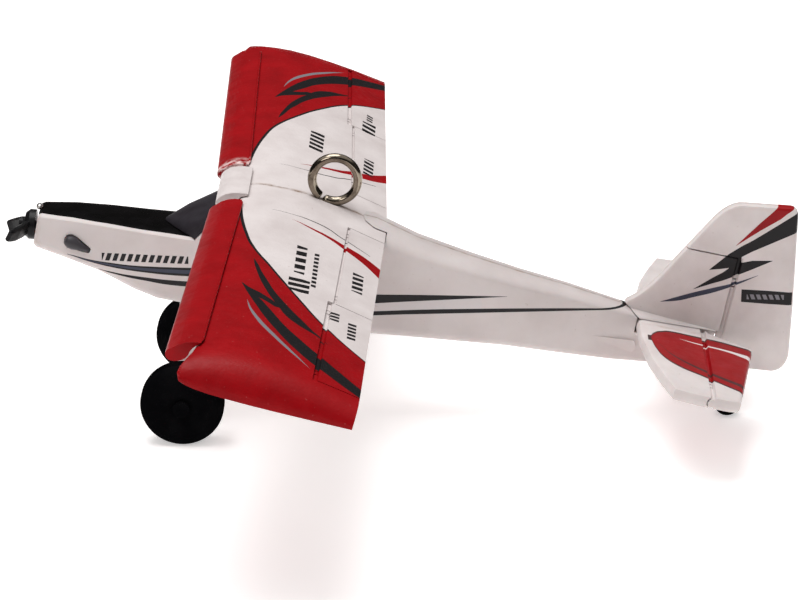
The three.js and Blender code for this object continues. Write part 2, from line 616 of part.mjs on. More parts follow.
const shaft = { radius: 0.5, head: 0.95, back: -3.2, front: 2.4 };
const thrustTurn = new THREE.Matrix4().makeRotationY(rad(downThrust)).setPosition(propeller.x, 0, propeller.z);
const shaftRoom = turned(rodAlongX(0, 0, shaft.radius + seamGap, -6, 3), thrustTurn);

// Legs and where they enter the keel.
const legRoot = { x: -24.3, y: 3.4, z: -6.1 };
function legSolid(grow) {
  const sections = [
    [-24.2, 3.0, -4.2, 1.9, 0.6], [legRoot.x, legRoot.y, legRoot.z, 1.9, 0.6],
    [-24.9, 6.9, -12.0, 1.5, 0.58], [mainAxle.x, 10.25, mainAxle.z + 0.6, 1.05, 0.55],
  ];
  const rings = sections.map(([x, y, z, halfWidth, halfDepth]) => {
    const w = halfWidth + grow;
    const d = halfDepth + grow;
    return [[x + w, y + d, z], [x - w, y + d, z], [x - w, y - d, z], [x + w, y - d, z]];
  });
  return loftZ(rings);
}

// Loft whose rings lie level, for pieces that run up and down.
function loftZ(rings) {
  const level = rings.map(ring => ring.map(([x, y, z]) => [z, x, y]));
  const made = loft(level);
  return turned(made, new THREE.Matrix4().set(0, 1, 0, 0, 0, 0, 1, 0, 1, 0, 0, 0, 0, 0, 0, 1));
}

let shells = skin.subtract(hollow);
shells = shells.subtract(hatchPlug(seamGap).intersect(box(-22.8, 5, -12, 12, 0, 12)));
shells = shells.subtract(aheadOfPillar(-seamGap).intersect(box(-40, -15, -12, 12, 4.5, 30)));
shells = shells.subtract(aboveWing).subtract(finSeam(seamGap)).subtract(stabRoom).subtract(tabSlot);
shells = shells.subtract(shaftRoom).subtract(rodAlongZ(rudderAxis, 0, noseRadius + surfaceGap, -6, 8));
shells = shells.add(rudderLug(lugs[1], 0).intersect(box(-110, rudderAxis + 2.2, -5, 5, -5, 5)));
shells = shells.subtract(lugBore).subtract(wireRoom);
shells = shells.subtract(eyeRoom);

// Fairing at the pushrod exit, moulded on each rear flank.
const exitOutline = [[-80.4, 0.6], [-88.4, 1.1], [-88.9, 0.2], [-88.4, -0.7]];

for (const [label, side] of sides) {
  const half = side > 0 ? box(-120, 10, seamGap / 2, 20, -20, 30) : box(-120, 10, -20, -seamGap / 2, -20, 30);
  let shell = shells.add(onSide(sidePrism(exitOutline, 1.2, 2.75), side).subtract(tabSlot)).intersect(half);
  shell = shell.subtract(windowBody(seamGap, side).subtract(skinUnderWindow));
  shell = shell.subtract(exhaustStub(seamGap, side)).subtract(onSide(legSolid(seamGap), side));
  add(airframe, `fuselage_${label}`, shell, white);
  const window = windowBody(0, side).intersect(skin).subtract(skinUnder);
  add(airframe, `side_window_${label}`, window, slate);
  add(airframe, `exhaust_${label}`, exhaustStub(0, side), slate);
  let leg = onSide(legSolid(0), side).add(rodAlongY(mainAxle.x, mainAxle.z, 1.35,
    side > 0 ? 9.6 : -10.9, side > 0 ? 10.9 : -9.6));
  leg = leg.subtract(rodAlongY(mainAxle.x, mainAxle.z, mainAxle.radius + pinClearance, -12, 12));
  add(airframe, `gear_leg_${label}`, leg, black);
}
add(airframe, 'nose_hatch', hatch, black);

add(airframe, 'eye_screw', eyeScrew(0), nickel, [eye.x, 0, eye.z]);

// ---- Wheels ----

function wheel(radius, width, shoulder, bore, segments) {
  const profile = [[bore, -width / 2], [radius - shoulder, -width / 2]];
  for (const sign of [-1, 1]) {
    for (let i = 1; i < 4; i++) {
      const t = rad(90 * i / 4);
      const along = sign < 0 ? -Math.cos(t) : Math.sin(t);
      const out = sign < 0 ? Math.sin(t) : Math.cos(t);
      profile.push([radius - shoulder + shoulder * out, sign < 0
        ? -width / 2 + shoulder + shoulder * along
        : width / 2 - shoulder + shoulder * along]);
    }
    if (sign < 0) profile.push([radius, -width / 2 + shoulder], [radius, width / 2 - shoulder]);
  }
  profile.push([radius - shoulder, width / 2], [bore, width / 2], [bore, -width / 2]);
  return solid(new THREE.LatheGeometry(profile.map(([r, h]) => new THREE.Vector2(r, h)), segments));
}

const mainTyre = wheel(mainWheelRadius, mainWheel.width, mainWheel.shoulder,
  mainAxle.radius + runningClearance, 36);
const pinHead = 1.2;
for (const [label, side] of sides) {
  const place = [mainAxle.x, side * mainWheel.centre, mainAxle.z];
  add(airframe, `main_wheel_${label}`, mainTyre, tyreBlack, place);
  const outer = mainWheel.centre + mainWheel.width / 2 + runningClearance;
  const pin = rodAlongY(0, 0, mainAxle.radius, 9.8, outer + 0.2).add(rodAlongY(0, 0, pinHead, outer, outer + 0.45));
  add(airframe, `main_axle_${label}`, onSide(pin, side), black, [mainAxle.x, 0, mainAxle.z]);
}

// The tail wheel stands on the same ground as the main wheels.
const sinGround = Math.sin(rad(groundAngle));
const cosGround = Math.cos(rad(groundAngle));
tailAxle.z = mainAxle.z + ((mainAxle.x - tailAxle.x) * sinGround + tailWheelRadius - mainWheelRadius) / cosGround;
const tailTyre = wheel(tailWheelRadius, tailWheelWidth, 0.5, tailAxle.radius + runningClearance, 24);
add(airframe, 'tail_wheel', tailTyre, tyreBlack, [tailAxle.x, 0, tailAxle.z]);
const forkInner = tailWheelWidth / 2 + 0.2;
const forkOuter = forkInner + 0.6;
const crown = tailAxle.z + tailWheelRadius + 0.3;
let fork = box(tailStem.x - 1.2, tailStem.x + 0.7, -forkOuter, forkOuter, crown, crown + 0.8);
fork = fork.add(rodAlongZ(tailStem.x, 0, tailStem.radius, crown, tailStem.top, 12));
for (const side of [1, -1]) {
  const arm = sidePrism([[tailStem.x + 0.7, crown + 0.8], [tailStem.x - 1.2, crown + 0.8],
    [tailAxle.x - 0.8, tailAxle.z - 0.3], [tailAxle.x + 0.8, tailAxle.z - 0.3]], forkInner, forkOuter);
  fork = fork.add(onSide(arm, side)).add(onSide(
    rodAlongY(tailAxle.x, tailAxle.z, 0.85, forkInner, forkOuter), side));
}
fork = fork.subtract(rodAlongY(tailAxle.x, tailAxle.z, tailAxle.radius + pinClearance, -3, 3, 12));
add(airframe, 'tail_fork', fork, black);
const tailPin = rodAlongY(tailAxle.x, tailAxle.z, tailAxle.radius, -forkOuter, forkOuter, 12);
add(airframe, 'tail_axle', tailPin, steel);

// ---- Propeller ----

const hubProfile = [[shaft.radius + runningClearance, 0], [2.2, 0], [2.2, 0.9], [1.7, 1.5],
  [shaft.radius + runningClearance, 1.7]];
hubProfile.push(hubProfile[0]);
const hubGeometry = new THREE.LatheGeometry(hubProfile.map(([r, h]) => new THREE.Vector2(r, h)), 28);
hubGeometry.rotateZ(-Math.PI / 2);
let screw = solid(hubGeometry);

// Blade rows: distance out, share of the lean, share of the chord, share of the thickness.
const bladeSections = [
  [1.0, 0.12, 0.95, 0.8], [2.4, 0.36, 1.05, 1], [4.0, 0.68, 0.95, 1],
  [propeller.reach - 0.35, 0.95, 0.75, 0.9], [propeller.reach, 1, 0.55, 0.6],
];
const bladeOutline = [[-1, -0.4], [-0.75, -1], [0.75, -1], [1, -0.4], [1, 0.4], [0.75, 1], [-0.75, 1], [-1, 0.4]];
const bladeRing = (lean, [out, leanShare, chordShare, depthShare]) => bladeOutline.map(([c, t]) => {
  const along = c * propeller.chord / 2 * chordShare;
  const across = t * propeller.thickness / 2 * depthShare;
  const pitch = rad(propeller.pitch);
  const forward = 0.7 + lean * leanShare;
  return [out, forward + along * Math.sin(pitch) + across * Math.cos(pitch),
    along * Math.cos(pitch) - across * Math.sin(pitch)];
});
const bladeTurn = new THREE.Matrix4().set(0, 1, 0, 0, 1, 0, 0, 0, 0, 0, -1, 0, 0, 0, 0, 1);
for (const { angle, lean } of blades) {
  const blade = turned(loft(bladeSections.map(section => bladeRing(lean, section))), bladeTurn);
  screw = screw.add(turned(blade, new THREE.Matrix4().makeRotationX(rad(angle))));
}
screw = screw.subtract(rodAlongX(0, 0, shaft.radius + runningClearance, -1, 6)).subtract(box(-3, 0, -9, 9, -9, 9));

// The shaft points a little below the line of the fuselage.
const thrustFrame = new THREE.Group();
thrustFrame.position.set(propeller.x, 0, propeller.z);
thrustFrame.rotation.y = rad(downThrust);
airframe.add(thrustFrame);
add(thrustFrame, 'propeller', screw, black);
const shaftRod = rodAlongX(0, 0, shaft.radius, shaft.back, shaft.front)
  .add(rodAlongX(0, 0, shaft.head, 1.7 + runningClearance, shaft.front));
add(thrustFrame, 'propeller_shaft', shaftRod, steel);

// ---- Onto the ground, centred over its own footprint ----

airframe.rotation.y = -rad(groundAngle);
const group = new THREE.Group();
group.add(airframe);
group.updateMatrixWorld(true);
const bounds = new THREE.Box3().setFromObject(group, true);
const groundHeight = mainAxle.x * sinGround + mainAxle.z * cosGround - mainWheelRadius;
airframe.position.set(-(bounds.min.x + bounds.max.x) / 2, 0, -groundHeight);

export default group;
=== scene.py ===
import json
import math
import bmesh
import bpy
import numpy as np
from mathutils import Matrix, Vector

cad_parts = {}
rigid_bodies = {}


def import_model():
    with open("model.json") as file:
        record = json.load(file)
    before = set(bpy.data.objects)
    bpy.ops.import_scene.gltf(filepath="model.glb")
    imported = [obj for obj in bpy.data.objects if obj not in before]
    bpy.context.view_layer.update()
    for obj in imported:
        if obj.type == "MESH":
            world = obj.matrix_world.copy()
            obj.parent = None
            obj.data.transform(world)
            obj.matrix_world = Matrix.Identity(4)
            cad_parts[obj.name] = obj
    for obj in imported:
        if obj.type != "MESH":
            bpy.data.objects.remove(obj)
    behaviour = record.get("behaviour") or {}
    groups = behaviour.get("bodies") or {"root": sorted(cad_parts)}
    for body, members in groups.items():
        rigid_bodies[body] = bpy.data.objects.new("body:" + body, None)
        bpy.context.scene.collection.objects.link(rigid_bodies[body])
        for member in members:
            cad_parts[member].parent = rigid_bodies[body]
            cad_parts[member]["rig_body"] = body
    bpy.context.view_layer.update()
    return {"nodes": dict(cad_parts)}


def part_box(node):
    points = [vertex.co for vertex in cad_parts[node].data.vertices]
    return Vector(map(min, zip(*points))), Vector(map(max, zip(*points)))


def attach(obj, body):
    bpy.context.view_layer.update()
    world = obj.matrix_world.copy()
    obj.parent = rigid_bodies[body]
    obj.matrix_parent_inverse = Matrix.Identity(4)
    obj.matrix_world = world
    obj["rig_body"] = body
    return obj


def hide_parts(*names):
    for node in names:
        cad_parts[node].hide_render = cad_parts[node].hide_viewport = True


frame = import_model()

# Measures are millimetres and degrees unless a note says otherwise.
mm = 0.001
stance = {
    "noseUp": 11.0,              # how far the fuselage is tipped back on its wheels
    "axleFromNose": (-25.65, -17.59),
    "wingFromNose": (-28.1, 11.6),
    "wingIncidence": 5.0,
    "stripeOriginAft": 49.6,     # the stripes are laid out from this far behind the nose face
}


# A point in the upright plane, turned nose-up by the angle: x cos - z sin, x sin + z cos.
def turned(x, z, degrees):
    c, s = math.cos(math.radians(degrees)), math.sin(math.radians(degrees))
    return x * c - z * s, x * s + z * c


# The nose face's centre on the ground frame: the main axle's centre less its turned distance from the nose.
def noseOrigin():
    low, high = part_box("main_axle_left")
    dx, dz = turned(*stance["axleFromNose"], stance["noseUp"])
    return (low.x + high.x) / 2 / mm - dx, (low.z + high.z) / 2 / mm - dz


noseX, noseZ = noseOrigin()


# A point of the aircraft's own frame (x ahead of the nose face, z above the thrust line), on the ground frame.
def fromNose(x, y, z):
    gx, gz = turned(x, z, stance["noseUp"])
    return noseX + gx, y, noseZ + gz


# A point of the wing's own frame, turned by its incidence and moved to its place on the aircraft.
def fromWing(x, y, z):
    ax, az = turned(x, z, stance["wingIncidence"])
    return fromNose(stance["wingFromNose"][0] + ax, y, stance["wingFromNose"][1] + az)


texture = {
    "perMetre": 1000,            # patterns are scaled in millimetres
    "noiseRoughness": 0.55,
    "flat": 1e-6,                # a line that rises less than this is a constant
    "barShare": 0.62,            # how much of each pitch a bar fills
    "barShift": 50.25,           # whole pitches that keep the phase above nought, and where the first bar starts
}


# One material's node tree, with short ways to add nodes.
class Paint:
    def __init__(self, name, colour, roughness, **settings):
        self.material = bpy.data.materials.new(name)
        self.material.use_nodes = True
        self.nodes = self.material.node_tree.nodes
        self.links = self.material.node_tree.links
        self.shader = self.nodes["Principled BSDF"]
        self.shader.inputs["Base Color"].default_value = (*colour, 1)
        self.shader.inputs["Roughness"].default_value = roughness
        for key, value in settings.items():
            self.shader.inputs[key.replace("_", " ")].default_value = value
        self.material.diffuse_color = (*colour, 1)

    def put(self, socket, value):
        if hasattr(value, "is_linked"):
            self.links.new(value, socket)
        else:
            socket.default_value = value

    def calc(self, operation, *values):
        node = self.nodes.new("ShaderNodeMath")
        node.operation = operation
        for socket, value in zip(node.inputs, values):
            self.put(socket, value)
        return node.outputs[0]

    # the product of all the values
    def times(self, first, *others):
        for other in others:
            first = self.calc("MULTIPLY", first, other)
        return first

    # 1 where any of the masks is 1
    def either(self, first, *others):
        for other in others:
            first = self.calc("MAXIMUM", first, other)
        return first

    def above(self, value, limit):
        return self.calc("GREATER_THAN", value, limit)

    def below(self, value, limit):
        return self.calc("LESS_THAN", value, limit)

    def size(self, value):
        return self.calc("ABSOLUTE", value)

    def mix(self, factor, first, second):
        node = self.nodes.new("ShaderNodeMix")
        node.data_type = "RGBA"
        self.put(node.inputs["Factor"], factor)
        self.put(node.inputs[6], (*first, 1) if isinstance(first, tuple) else first)
        self.put(node.inputs[7], (*second, 1) if isinstance(second, tuple) else second)
        return node.outputs[2]

    # Object coordinates in millimetres, seen from a frame at the origin that is tipped nose-up.
    def place(self, degrees=0.0, origin=(0.0, 0.0)):
        node = self.nodes.new("ShaderNodeMapping")
        self.links.new(self.nodes.new("ShaderNodeTexCoord").outputs["Object"], node.inputs["Vector"])
        backX, backZ = turned(*origin, -degrees)
        node.inputs["Location"].default_value = (-backX, 0, -backZ)
        node.inputs["Rotation"].default_value = (0, math.radians(degrees), 0)
        node.inputs["Scale"].default_value = [texture["perMetre"]] * 3
        return node.outputs[0]

    def split(self, vector):
        node = self.nodes.new("ShaderNodeSeparateXYZ")
        self.links.new(vector, node.inputs[0])
        return node.outputs[0], node.outputs[1], node.outputs[2]

    def noise(self, vector, scale, detail=3.0):
        node = self.nodes.new("ShaderNodeTexNoise")
        self.links.new(vector, node.inputs["Vector"])
        node.inputs["Scale"].default_value = scale
        node.inputs["Detail"].default_value = detail
        node.inputs["Roughness"].default_value = texture["noiseRoughness"]
        return node.outputs["Fac"]

    def cells(self, vector, scale):
        node = self.nodes.new("ShaderNodeTexVoronoi")
        self.links.new(vector, node.inputs["Vector"])
        node.inputs["Scale"].default_value = scale
        return node.outputs["Distance"]

    # The value's place between low and high, as a number between toLow and toHigh.
    def span(self, value, low, high, toLow=0.0, toHigh=1.0):
        node = self.nodes.new("ShaderNodeMapRange")
        for socket, number in zip(node.inputs, (value, low, high, toLow, toHigh)):
            self.put(socket, number)
        return node.outputs[0]

    # A line through (along, across) points, smooth or straight between them, scaled to their ranges.
    def curve(self, value, points, straight=False):
        along = [p[0] for p in points]
        across = [p[1] for p in points]
        low, high = min(across), max(across)
        if high - low < texture["flat"]:
            return low
        node = self.nodes.new("ShaderNodeFloatCurve")
        line = node.mapping.curves[0]
        reach = along[-1] - along[0]
        for i, (a, b) in enumerate(zip(along, across)):
            x, y = (a - along[0]) / reach, (b - low) / (high - low)
            if i in (0, len(points) - 1):
                line.points[0 if i == 0 else len(line.points) - 1].location = (x, y)
            else:
                line.points.new(x, y)
        for point in line.points:
            point.handle_type = "VECTOR" if straight else "AUTO_CLAMPED"
        node.mapping.update()
        self.links.new(self.span(value, along[0], along[-1]), node.inputs["Value"])
        return self.span(node.outputs[0], 0.0, 1.0, low, high)

    # 1 inside a strip given by rows of (along, low edge, high edge), else 0.
    def strip(self, along, across, rows, grow=0.0, straight=False):
        rows = sorted(rows)
        low = self.curve(along, [(r[0], r[1]) for r in rows], straight)
        high = self.curve(along, [(r[0], r[2]) for r in rows], straight)
        above = self.above(across, self.calc("SUBTRACT", low, grow) if grow else low)
        below = self.below(across, self.calc("ADD", high, grow) if grow else high)
        return self.times(above, below, self.above(along, rows[0][0] - grow),
                          self.below(along, rows[-1][0] + grow))

    # A block of short slanted bars: inside the block, and in the darker part of each pitch.
    def dashes(self, along, across, middle, size, pitch, lean=0.3):
        x = self.calc("SUBTRACT", along, middle[0])
        y = self.calc("SUBTRACT", across, middle[1])
        slant = self.calc("ADD", x, self.times(y, lean))
        phase = self.calc("FRACT", self.calc("ADD", self.calc("DIVIDE", slant, pitch), texture["barShift"]))
        return self.times(self.below(self.size(x), size[0] / 2), self.below(self.size(y), size[1] / 2),
                          self.below(phase, texture["barShare"]))

    # Adds relief to the relief already there; the distance is in metres.
    def bump(self, height, distance, strength=0.5):
        node = self.nodes.new("ShaderNodeBump")
        node.inputs["Strength"].default_value = strength
        node.inputs["Distance"].default_value = distance
        self.links.new(height, node.inputs["Height"])
        previous = self.shader.inputs["Normal"]
        if previous.is_linked:
            self.links.new(previous.links[0].from_socket, node.inputs["Normal"])
        self.links.new(node.outputs[0], previous)

    def finish(self, colour, roughness=None):
        self.put(self.shader.inputs["Base Color"], colour)
        if roughness is not None:
            self.put(self.shader.inputs["Roughness"], roughness)
        return self.material


# A noise's "scale" is per millimetre, "range" is where it starts and ends, "depth" is metres.
whitePlastic = {
    # the side colour, mixed into the whole fuselage at the given share, is painted shade of the fuselage's sides
    "colour": (0.68, 0.625, 0.615), "shade": (0.57, 0.51, 0.50), "side": (0.47, 0.42, 0.41), "paintedSideShadeShare": 0.4,
    "grime": (0.26, 0.16, 0.10), "roughness": 0.36, "shine": 0.18, "scatterScale": 0.001,
    "mottle": {"scale": 0.16, "range": (0.35, 0.75)},
    "specks": {"scale": 1.9, "range": (0.70, 0.78), "strength": 0.35},
    "peel": {"scale": 1.1, "depth": 0.00006, "strength": 0.35},
    "waves": {"scale": 0.12, "depth": 0.0005, "strength": 0.25},
}
redPaint = {
    "colour": (0.32, 0.003, 0.006), "deep": (0.23, 0.002, 0.004), "chip": (0.55, 0.20, 0.19),
    "roughness": 0.42, "shine": 0.10,
    "cloud": {"scale": 0.22, "range": (0.3, 0.75)},
    "pits": {"scale": 0.85, "size": 0.16, "strength": 0.55},
    "dust": {"scale": 2.4, "range": (0.71, 0.80), "strength": 0.5},
}
trimColours = {"black": (0.012, 0.011, 0.012), "greyBlue": (0.045, 0.05, 0.075), "grey": (0.20, 0.19, 0.21),
               "paleGrey": (0.56, 0.54, 0.55), "outline": (0.05, 0.02, 0.02)}
dirt = {"scale": 0.7, "range": (0.35, 0.7)}
gloss = {"range": (0.3, 0.7)}


# Relief of moulded plastic: a fine orange peel over slow waves.
def skin(paint, vector):
    for relief in (whitePlastic["peel"], whitePlastic["waves"]):
        paint.bump(paint.noise(vector, relief["scale"], 2), relief["depth"], relief["strength"])


# Warm white plastic: broad mottling, faint specks and the moulded relief.
def moulded(paint, vector):
    mottle, specks = whitePlastic["mottle"], whitePlastic["specks"]
    shade = paint.span(paint.noise(vector, mottle["scale"], 4), *mottle["range"])
    colour = paint.mix(shade, whitePlastic["colour"], whitePlastic["shade"])
    spots = paint.span(paint.noise(vector, specks["scale"], 2), *specks["range"], 0.0, specks["strength"])
    skin(paint, vector)
    return paint.mix(spots, colour, whitePlastic["grime"])


# Deep red paint: cloudy depth, tiny dark pits and pale dust.
def sprayed(paint, vector):
    cloud, pits, dust = redPaint["cloud"], redPaint["pits"], redPaint["dust"]
    depth = paint.span(paint.noise(vector, cloud["scale"], 5), *cloud["range"])
    colour = paint.mix(depth, redPaint["colour"], redPaint["deep"])
    holes = paint.span(paint.cells(vector, pits["scale"]), 0.0, pits["size"], pits["strength"], 0.0)
    colour = paint.mix(holes, colour, redPaint["deep"])
    flecks = paint.span(paint.noise(vector, dust["scale"], 2), *dust["range"], 0.0, dust["strength"])
    return paint.mix(flecks, colour, redPaint["chip"])


# Dirt along a line where the value is nought, broken up by noise.
def seam(paint, value, width, vector, strength):
    near = paint.span(paint.size(value), 0.0, width, 1.0, 0.0)
    return paint.times(near, paint.span(paint.noise(vector, dirt["scale"]), *dirt["range"]), strength)


# Roughness that wanders between two values in soft patches.
def uneven(paint, vector, scale, low, high):
    return paint.span(paint.noise(vector, scale), *gloss["range"], low, high)


# The wing's pattern, in the wing's own frame: distance behind the leading edge, and out from the middle.
wingPattern = {
    "redRoot": 9.7, "redTip": 57.0,              # red starts this far out, and covers everything past the second
    "lineHalf": 0.21, "lineRoot": 9.4,
    "centreSeam": {"shift": 0.05, "width": 0.7, "strength": 0.95},
    "grain": {"scale": 2.2, "depth": 0.00005, "strength": 0.5},
    "gloss": (0.8, 0.32, 0.46),
    "redEdge": [(9.7, 0.2), (15.3, 0.7), (21.2, 1.6), (26.0, 2.7), (32.8, 5.6), (41.1, 9.8), (47.4, 13.7),
                (53.5, 19.8), (57.0, 24.5)],
    "boltLimb": [(30.9, 3.2, 3.2), (32.9, 3.4, 3.9), (35.6, 3.9, 4.6), (38.8, 4.6, 5.7), (40.8, 5.2, 6.4),
                 (43.6, 6.2, 7.7), (46.0, 7.3, 9.1), (48.5, 8.4, 10.8), (50.7, 10.5, 12.4), (52.1, 13.1, 13.7),
                 (53.6, 14.8, 14.8)],
    "boltLink": [(40.6, 2.1, 2.1), (42.1, 2.6, 3.3), (43.4, 3.0, 4.9), (44.6, 3.4, 6.3), (45.1, 4.6, 6.8),
                 (46.0, 6.0, 7.5), (46.9, 7.0, 8.0)],
    "boltBar": [(40.6, 2.1, 2.1), (43.0, 2.8, 3.3), (45.1, 3.5, 4.7), (48.2, 4.6, 6.4), (51.8, 6.1, 8.3),
                (55.4, 8.0, 11.0), (59.1, 10.5, 14.7), (61.6, 12.9, 17.6), (63.8, 15.9, 20.3), (66.1, 19.6, 23.5),
                (67.5, 22.0, 25.0)],
    "sliver": [(46.5, 3.2, 3.2), (49.8, 3.75, 4.1), (53.1, 4.9, 5.6), (56.3, 6.7, 7.5), (59.6, 9.1, 9.8),
               (63.6, 12.7, 12.7)],
    "hairline": [(4.6, 10.05, 10.1), (9.5, 10.1, 10.35), (12.7, 10.95, 11.25), (14.9, 12.55, 12.85),
                 (19.5, 15.0, 15.15)],
    "redDart": [(7.5, 12.1, 12.1), (10.7, 13.2, 13.8), (13.9, 14.4, 15.5), (15.4, 15.2, 16.8), (18.3, 16.3, 18.9),
                (21.3, 18.6, 22.4), (23.0, 20.2, 24.6)],
    # plain bars: middle (behind, out), size, pitch, which side of the wing
    "bars": [((9.6, 27.0), (1.5, 10.5), 2.6, 1), ((11.8, 29.0), (0.7, 13.0), 1.5, 1),
             ((9.8, 36.5), (3.0, 5.0), 1.9, 1), ((18.0, 27.5), (1.6, 7.0), 1.7, 1),
             ((17.8, 45.5), (1.2, 6.0), 1.2, 1), ((15.2, 43.0), (1.4, 3.0), 1.1, 1),
             ((9.6, 24.5), (2.2, 8.5), 1.8, -1), ((18.1, 22.0), (1.6, 7.0), 1.7, -1),
             ((17.6, 40.5), (2.2, 5.0), 2.1, -1), ((17.6, 45.4), (1.0, 3.6), 1.1, -1)],
}
# The right slat is worn at its inner end: how far out the wear reaches, and how patchy it is.
slatWear = {
    "bare": (0.80, 0.62, 0.60), "bareFrom": (-11.0, -8.6), "bareNoise": {"scale": 0.9, "range": (0.42, 0.6)},
    "chipFrom": (-14.0, -9.0), "chipNoise": {"scale": 0.5, "range": (0.66, 0.74), "strength": 0.5},
    "gloss": (0.8, 0.32, 0.45),
}


# Red-based paint with coordinates in the wing's own frame.
def wingBase(name):
    paint = Paint(name, redPaint["colour"], redPaint["roughness"], Specular_IOR_Level=redPaint["shine"])
    wingX, _, wingZ = fromWing(0, 0, 0)
    vector = paint.place(stance["noseUp"] + stance["wingIncidence"], (wingX, wingZ))
    return paint, vector, paint.split(vector)


# The slats: red all over, chipped and worn pale at the right one's inner end.
def slatPaint(name):
    paint, vector, (x, y, z) = wingBase(name)
    skin(paint, vector)
    chip, bare = slatWear["chipNoise"], slatWear["bareNoise"]
    starboard = paint.below(y, 0.0)
    chips = paint.span(paint.noise(vector, chip["scale"], 4), *chip["range"], 0.0, chip["strength"])
    worn = paint.span(paint.noise(vector, bare["scale"]), *bare["range"])
    chips = paint.times(starboard, chips, paint.span(y, *slatWear["chipFrom"]))
    worn = paint.times(starboard, paint.span(y, *slatWear["bareFrom"]), worn)
    colour = paint.mix(worn, paint.mix(chips, sprayed(paint, vector), redPaint["chip"]), slatWear["bare"])
    return paint.finish(colour, uneven(paint, vector, *slatWear["gloss"]))


# The wing: red ahead of the curved edge and out to the tip, white behind it, with a black bolt and a grey
# sliver on the red.
def wingPaint(name):
    look = wingPattern
    paint, vector, (x, y, z) = wingBase(name)
    behind, out = paint.times(x, -1.0), paint.size(y)
    white, red = moulded(paint, vector), sprayed(paint, vector)
    middle = look["centreSeam"]
    grime = seam(paint, paint.calc("SUBTRACT", out, middle["shift"]), middle["width"], vector, middle["strength"])
    colour = paint.mix(grime, white, whitePlastic["grime"])
    colour = paint.mix(paint.strip(behind, out, look["redDart"]), colour, red)
    colour = paint.mix(paint.strip(behind, out, look["hairline"]), colour, trimColours["black"])
    for place, size, pitch, side in look["bars"]:
        bars = paint.dashes(out, behind, place[::-1], size[::-1], pitch)
        colour = paint.mix(paint.times(bars, paint.above(paint.times(y, float(side)), 0.0)), colour,
                           trimColours["black"])
    gap = paint.calc("SUBTRACT", behind, paint.curve(out, look["redEdge"]))
    pastTip = paint.above(out, look["redTip"])
    isRed = paint.either(paint.times(paint.below(gap, 0.0), paint.above(out, look["redRoot"])), pastTip)
    line = paint.times(paint.below(paint.size(gap), look["lineHalf"]),
                       paint.above(out, look["lineRoot"]), paint.below(out, look["redTip"]))
    colour = paint.mix(isRed, colour, red)
    colour = paint.mix(paint.strip(out, behind, look["sliver"]), colour, trimColours["grey"])
    bolt = [paint.strip(out, behind, look[part]) for part in ("boltLimb", "boltLink", "boltBar")]
    colour = paint.mix(paint.either(*bolt, line), colour, trimColours["black"])
    grain = look["grain"]
    paint.bump(paint.noise(vector, grain["scale"], 2), grain["depth"], grain["strength"])
    return paint.finish(colour, uneven(paint, vector, *look["gloss"]))


# The fuselage's stripes and the fin's pattern, level with the ground: distance ahead, and height.
sidePattern = {
    "frontUpper": [(13.0, 23.6, 25.2), (20.0, 22.9, 24.4), (27.2, 22.55, 23.85), (33.0, 22.8, 23.8),
                   (39.2, 23.55, 24.15), (45.0, 24.95, 25.05)],
    "frontLower": [(13.0, 21.4, 22.3), (20.0, 20.9, 21.7), (27.5, 20.95, 21.75), (34.0, 21.65, 22.15),
                   (40.5, 22.8, 22.95)],
    "rearUpper": [(-18.7, 19.38, 19.42), (-9.0, 18.95, 19.7), (0.1, 18.6, 19.95), (8.0, 18.4, 20.2)],
    "rearLower": [(-36.2, 17.2, 17.35), (-28.0, 17.1, 17.5), (-18.0, 16.95, 17.55), (0.4, 16.7, 17.35),
                  (8.0, 16.6, 17.2)],
    "core": (0.28, 0.72),                        # the blue core's share of the front upper stripe
    "between": [(-15.0, 17.2, 19.2), (-8.0, 17.2, 19.0), (0.1, 17.1, 18.7), (8.0, 17.0, 18.6)],
    "betweenShare": 0.45,
    "bars": {"middle": (33.6, 25.0), "size": (12.6, 1.15), "pitch": 1.05, "lean": 0.35, "outFrom": 3.0},
    "seam": {"width": 0.42, "strength": 0.75},
    "haze": {"width": 1.6, "strength": 0.22, "scale": 0.35, "range": (0.4, 0.7)},
    "noseDirt": {"from": (48.6, 49.9), "scale": 0.8, "range": (0.45, 0.65), "strength": 0.6},
    "scatter": 0.08, "gloss": (0.5, 0.3, 0.42),
}
finPattern = {
    "wedge": [(-59.9, 32.5, 33.2), (-58.9, 31.8, 33.35), (-58.0, 31.0, 33.2), (-55.0, 29.1, 30.3),
              (-51.7, 26.8, 26.85)],
    "bar": [(-61.5, 28.4, 32.6), (-60.4, 28.95, 31.95), (-56.1, 26.9, 29.0), (-54.0, 25.9, 27.6),
            (-52.6, 25.1, 26.8), (-50.7, 24.1, 25.5), (-48.0, 23.05, 23.1)],
    "link": [(-52.6, 23.9, 25.6), (-51.4, 23.45, 25.0), (-49.6, 23.2, 24.3), (-48.0, 23.05, 23.1)],
    "bolt": [(-57.1, 24.55, 24.6), (-54.2, 23.2, 24.55), (-51.6, 22.05, 24.0), (-50.0, 21.4, 22.7),
             (-48.7, 21.0, 21.95), (-45.8, 20.0, 20.05)],
    "swoosh": [(-55.1, 22.25, 22.3), (-51.6, 20.6, 21.05), (-48.6, 19.5, 20.25), (-45.8, 18.75, 19.5),
               (-43.7, 18.2, 18.85), (-41.1, 17.97, 18.03)],
    "plate": [(-60.2, 17.7, 19.7), (-56.4, 17.9, 19.95), (-52.8, 18.15, 20.1)],
    "plateBars": {"middle": (-56.3, 18.95), "size": (5.4, 0.75), "pitch": 0.9, "lean": -0.4},
    "seam": {"width": 0.3, "strength": 0.5},
    "scatter": 0.1, "gloss": (0.5, 0.34, 0.46),
}
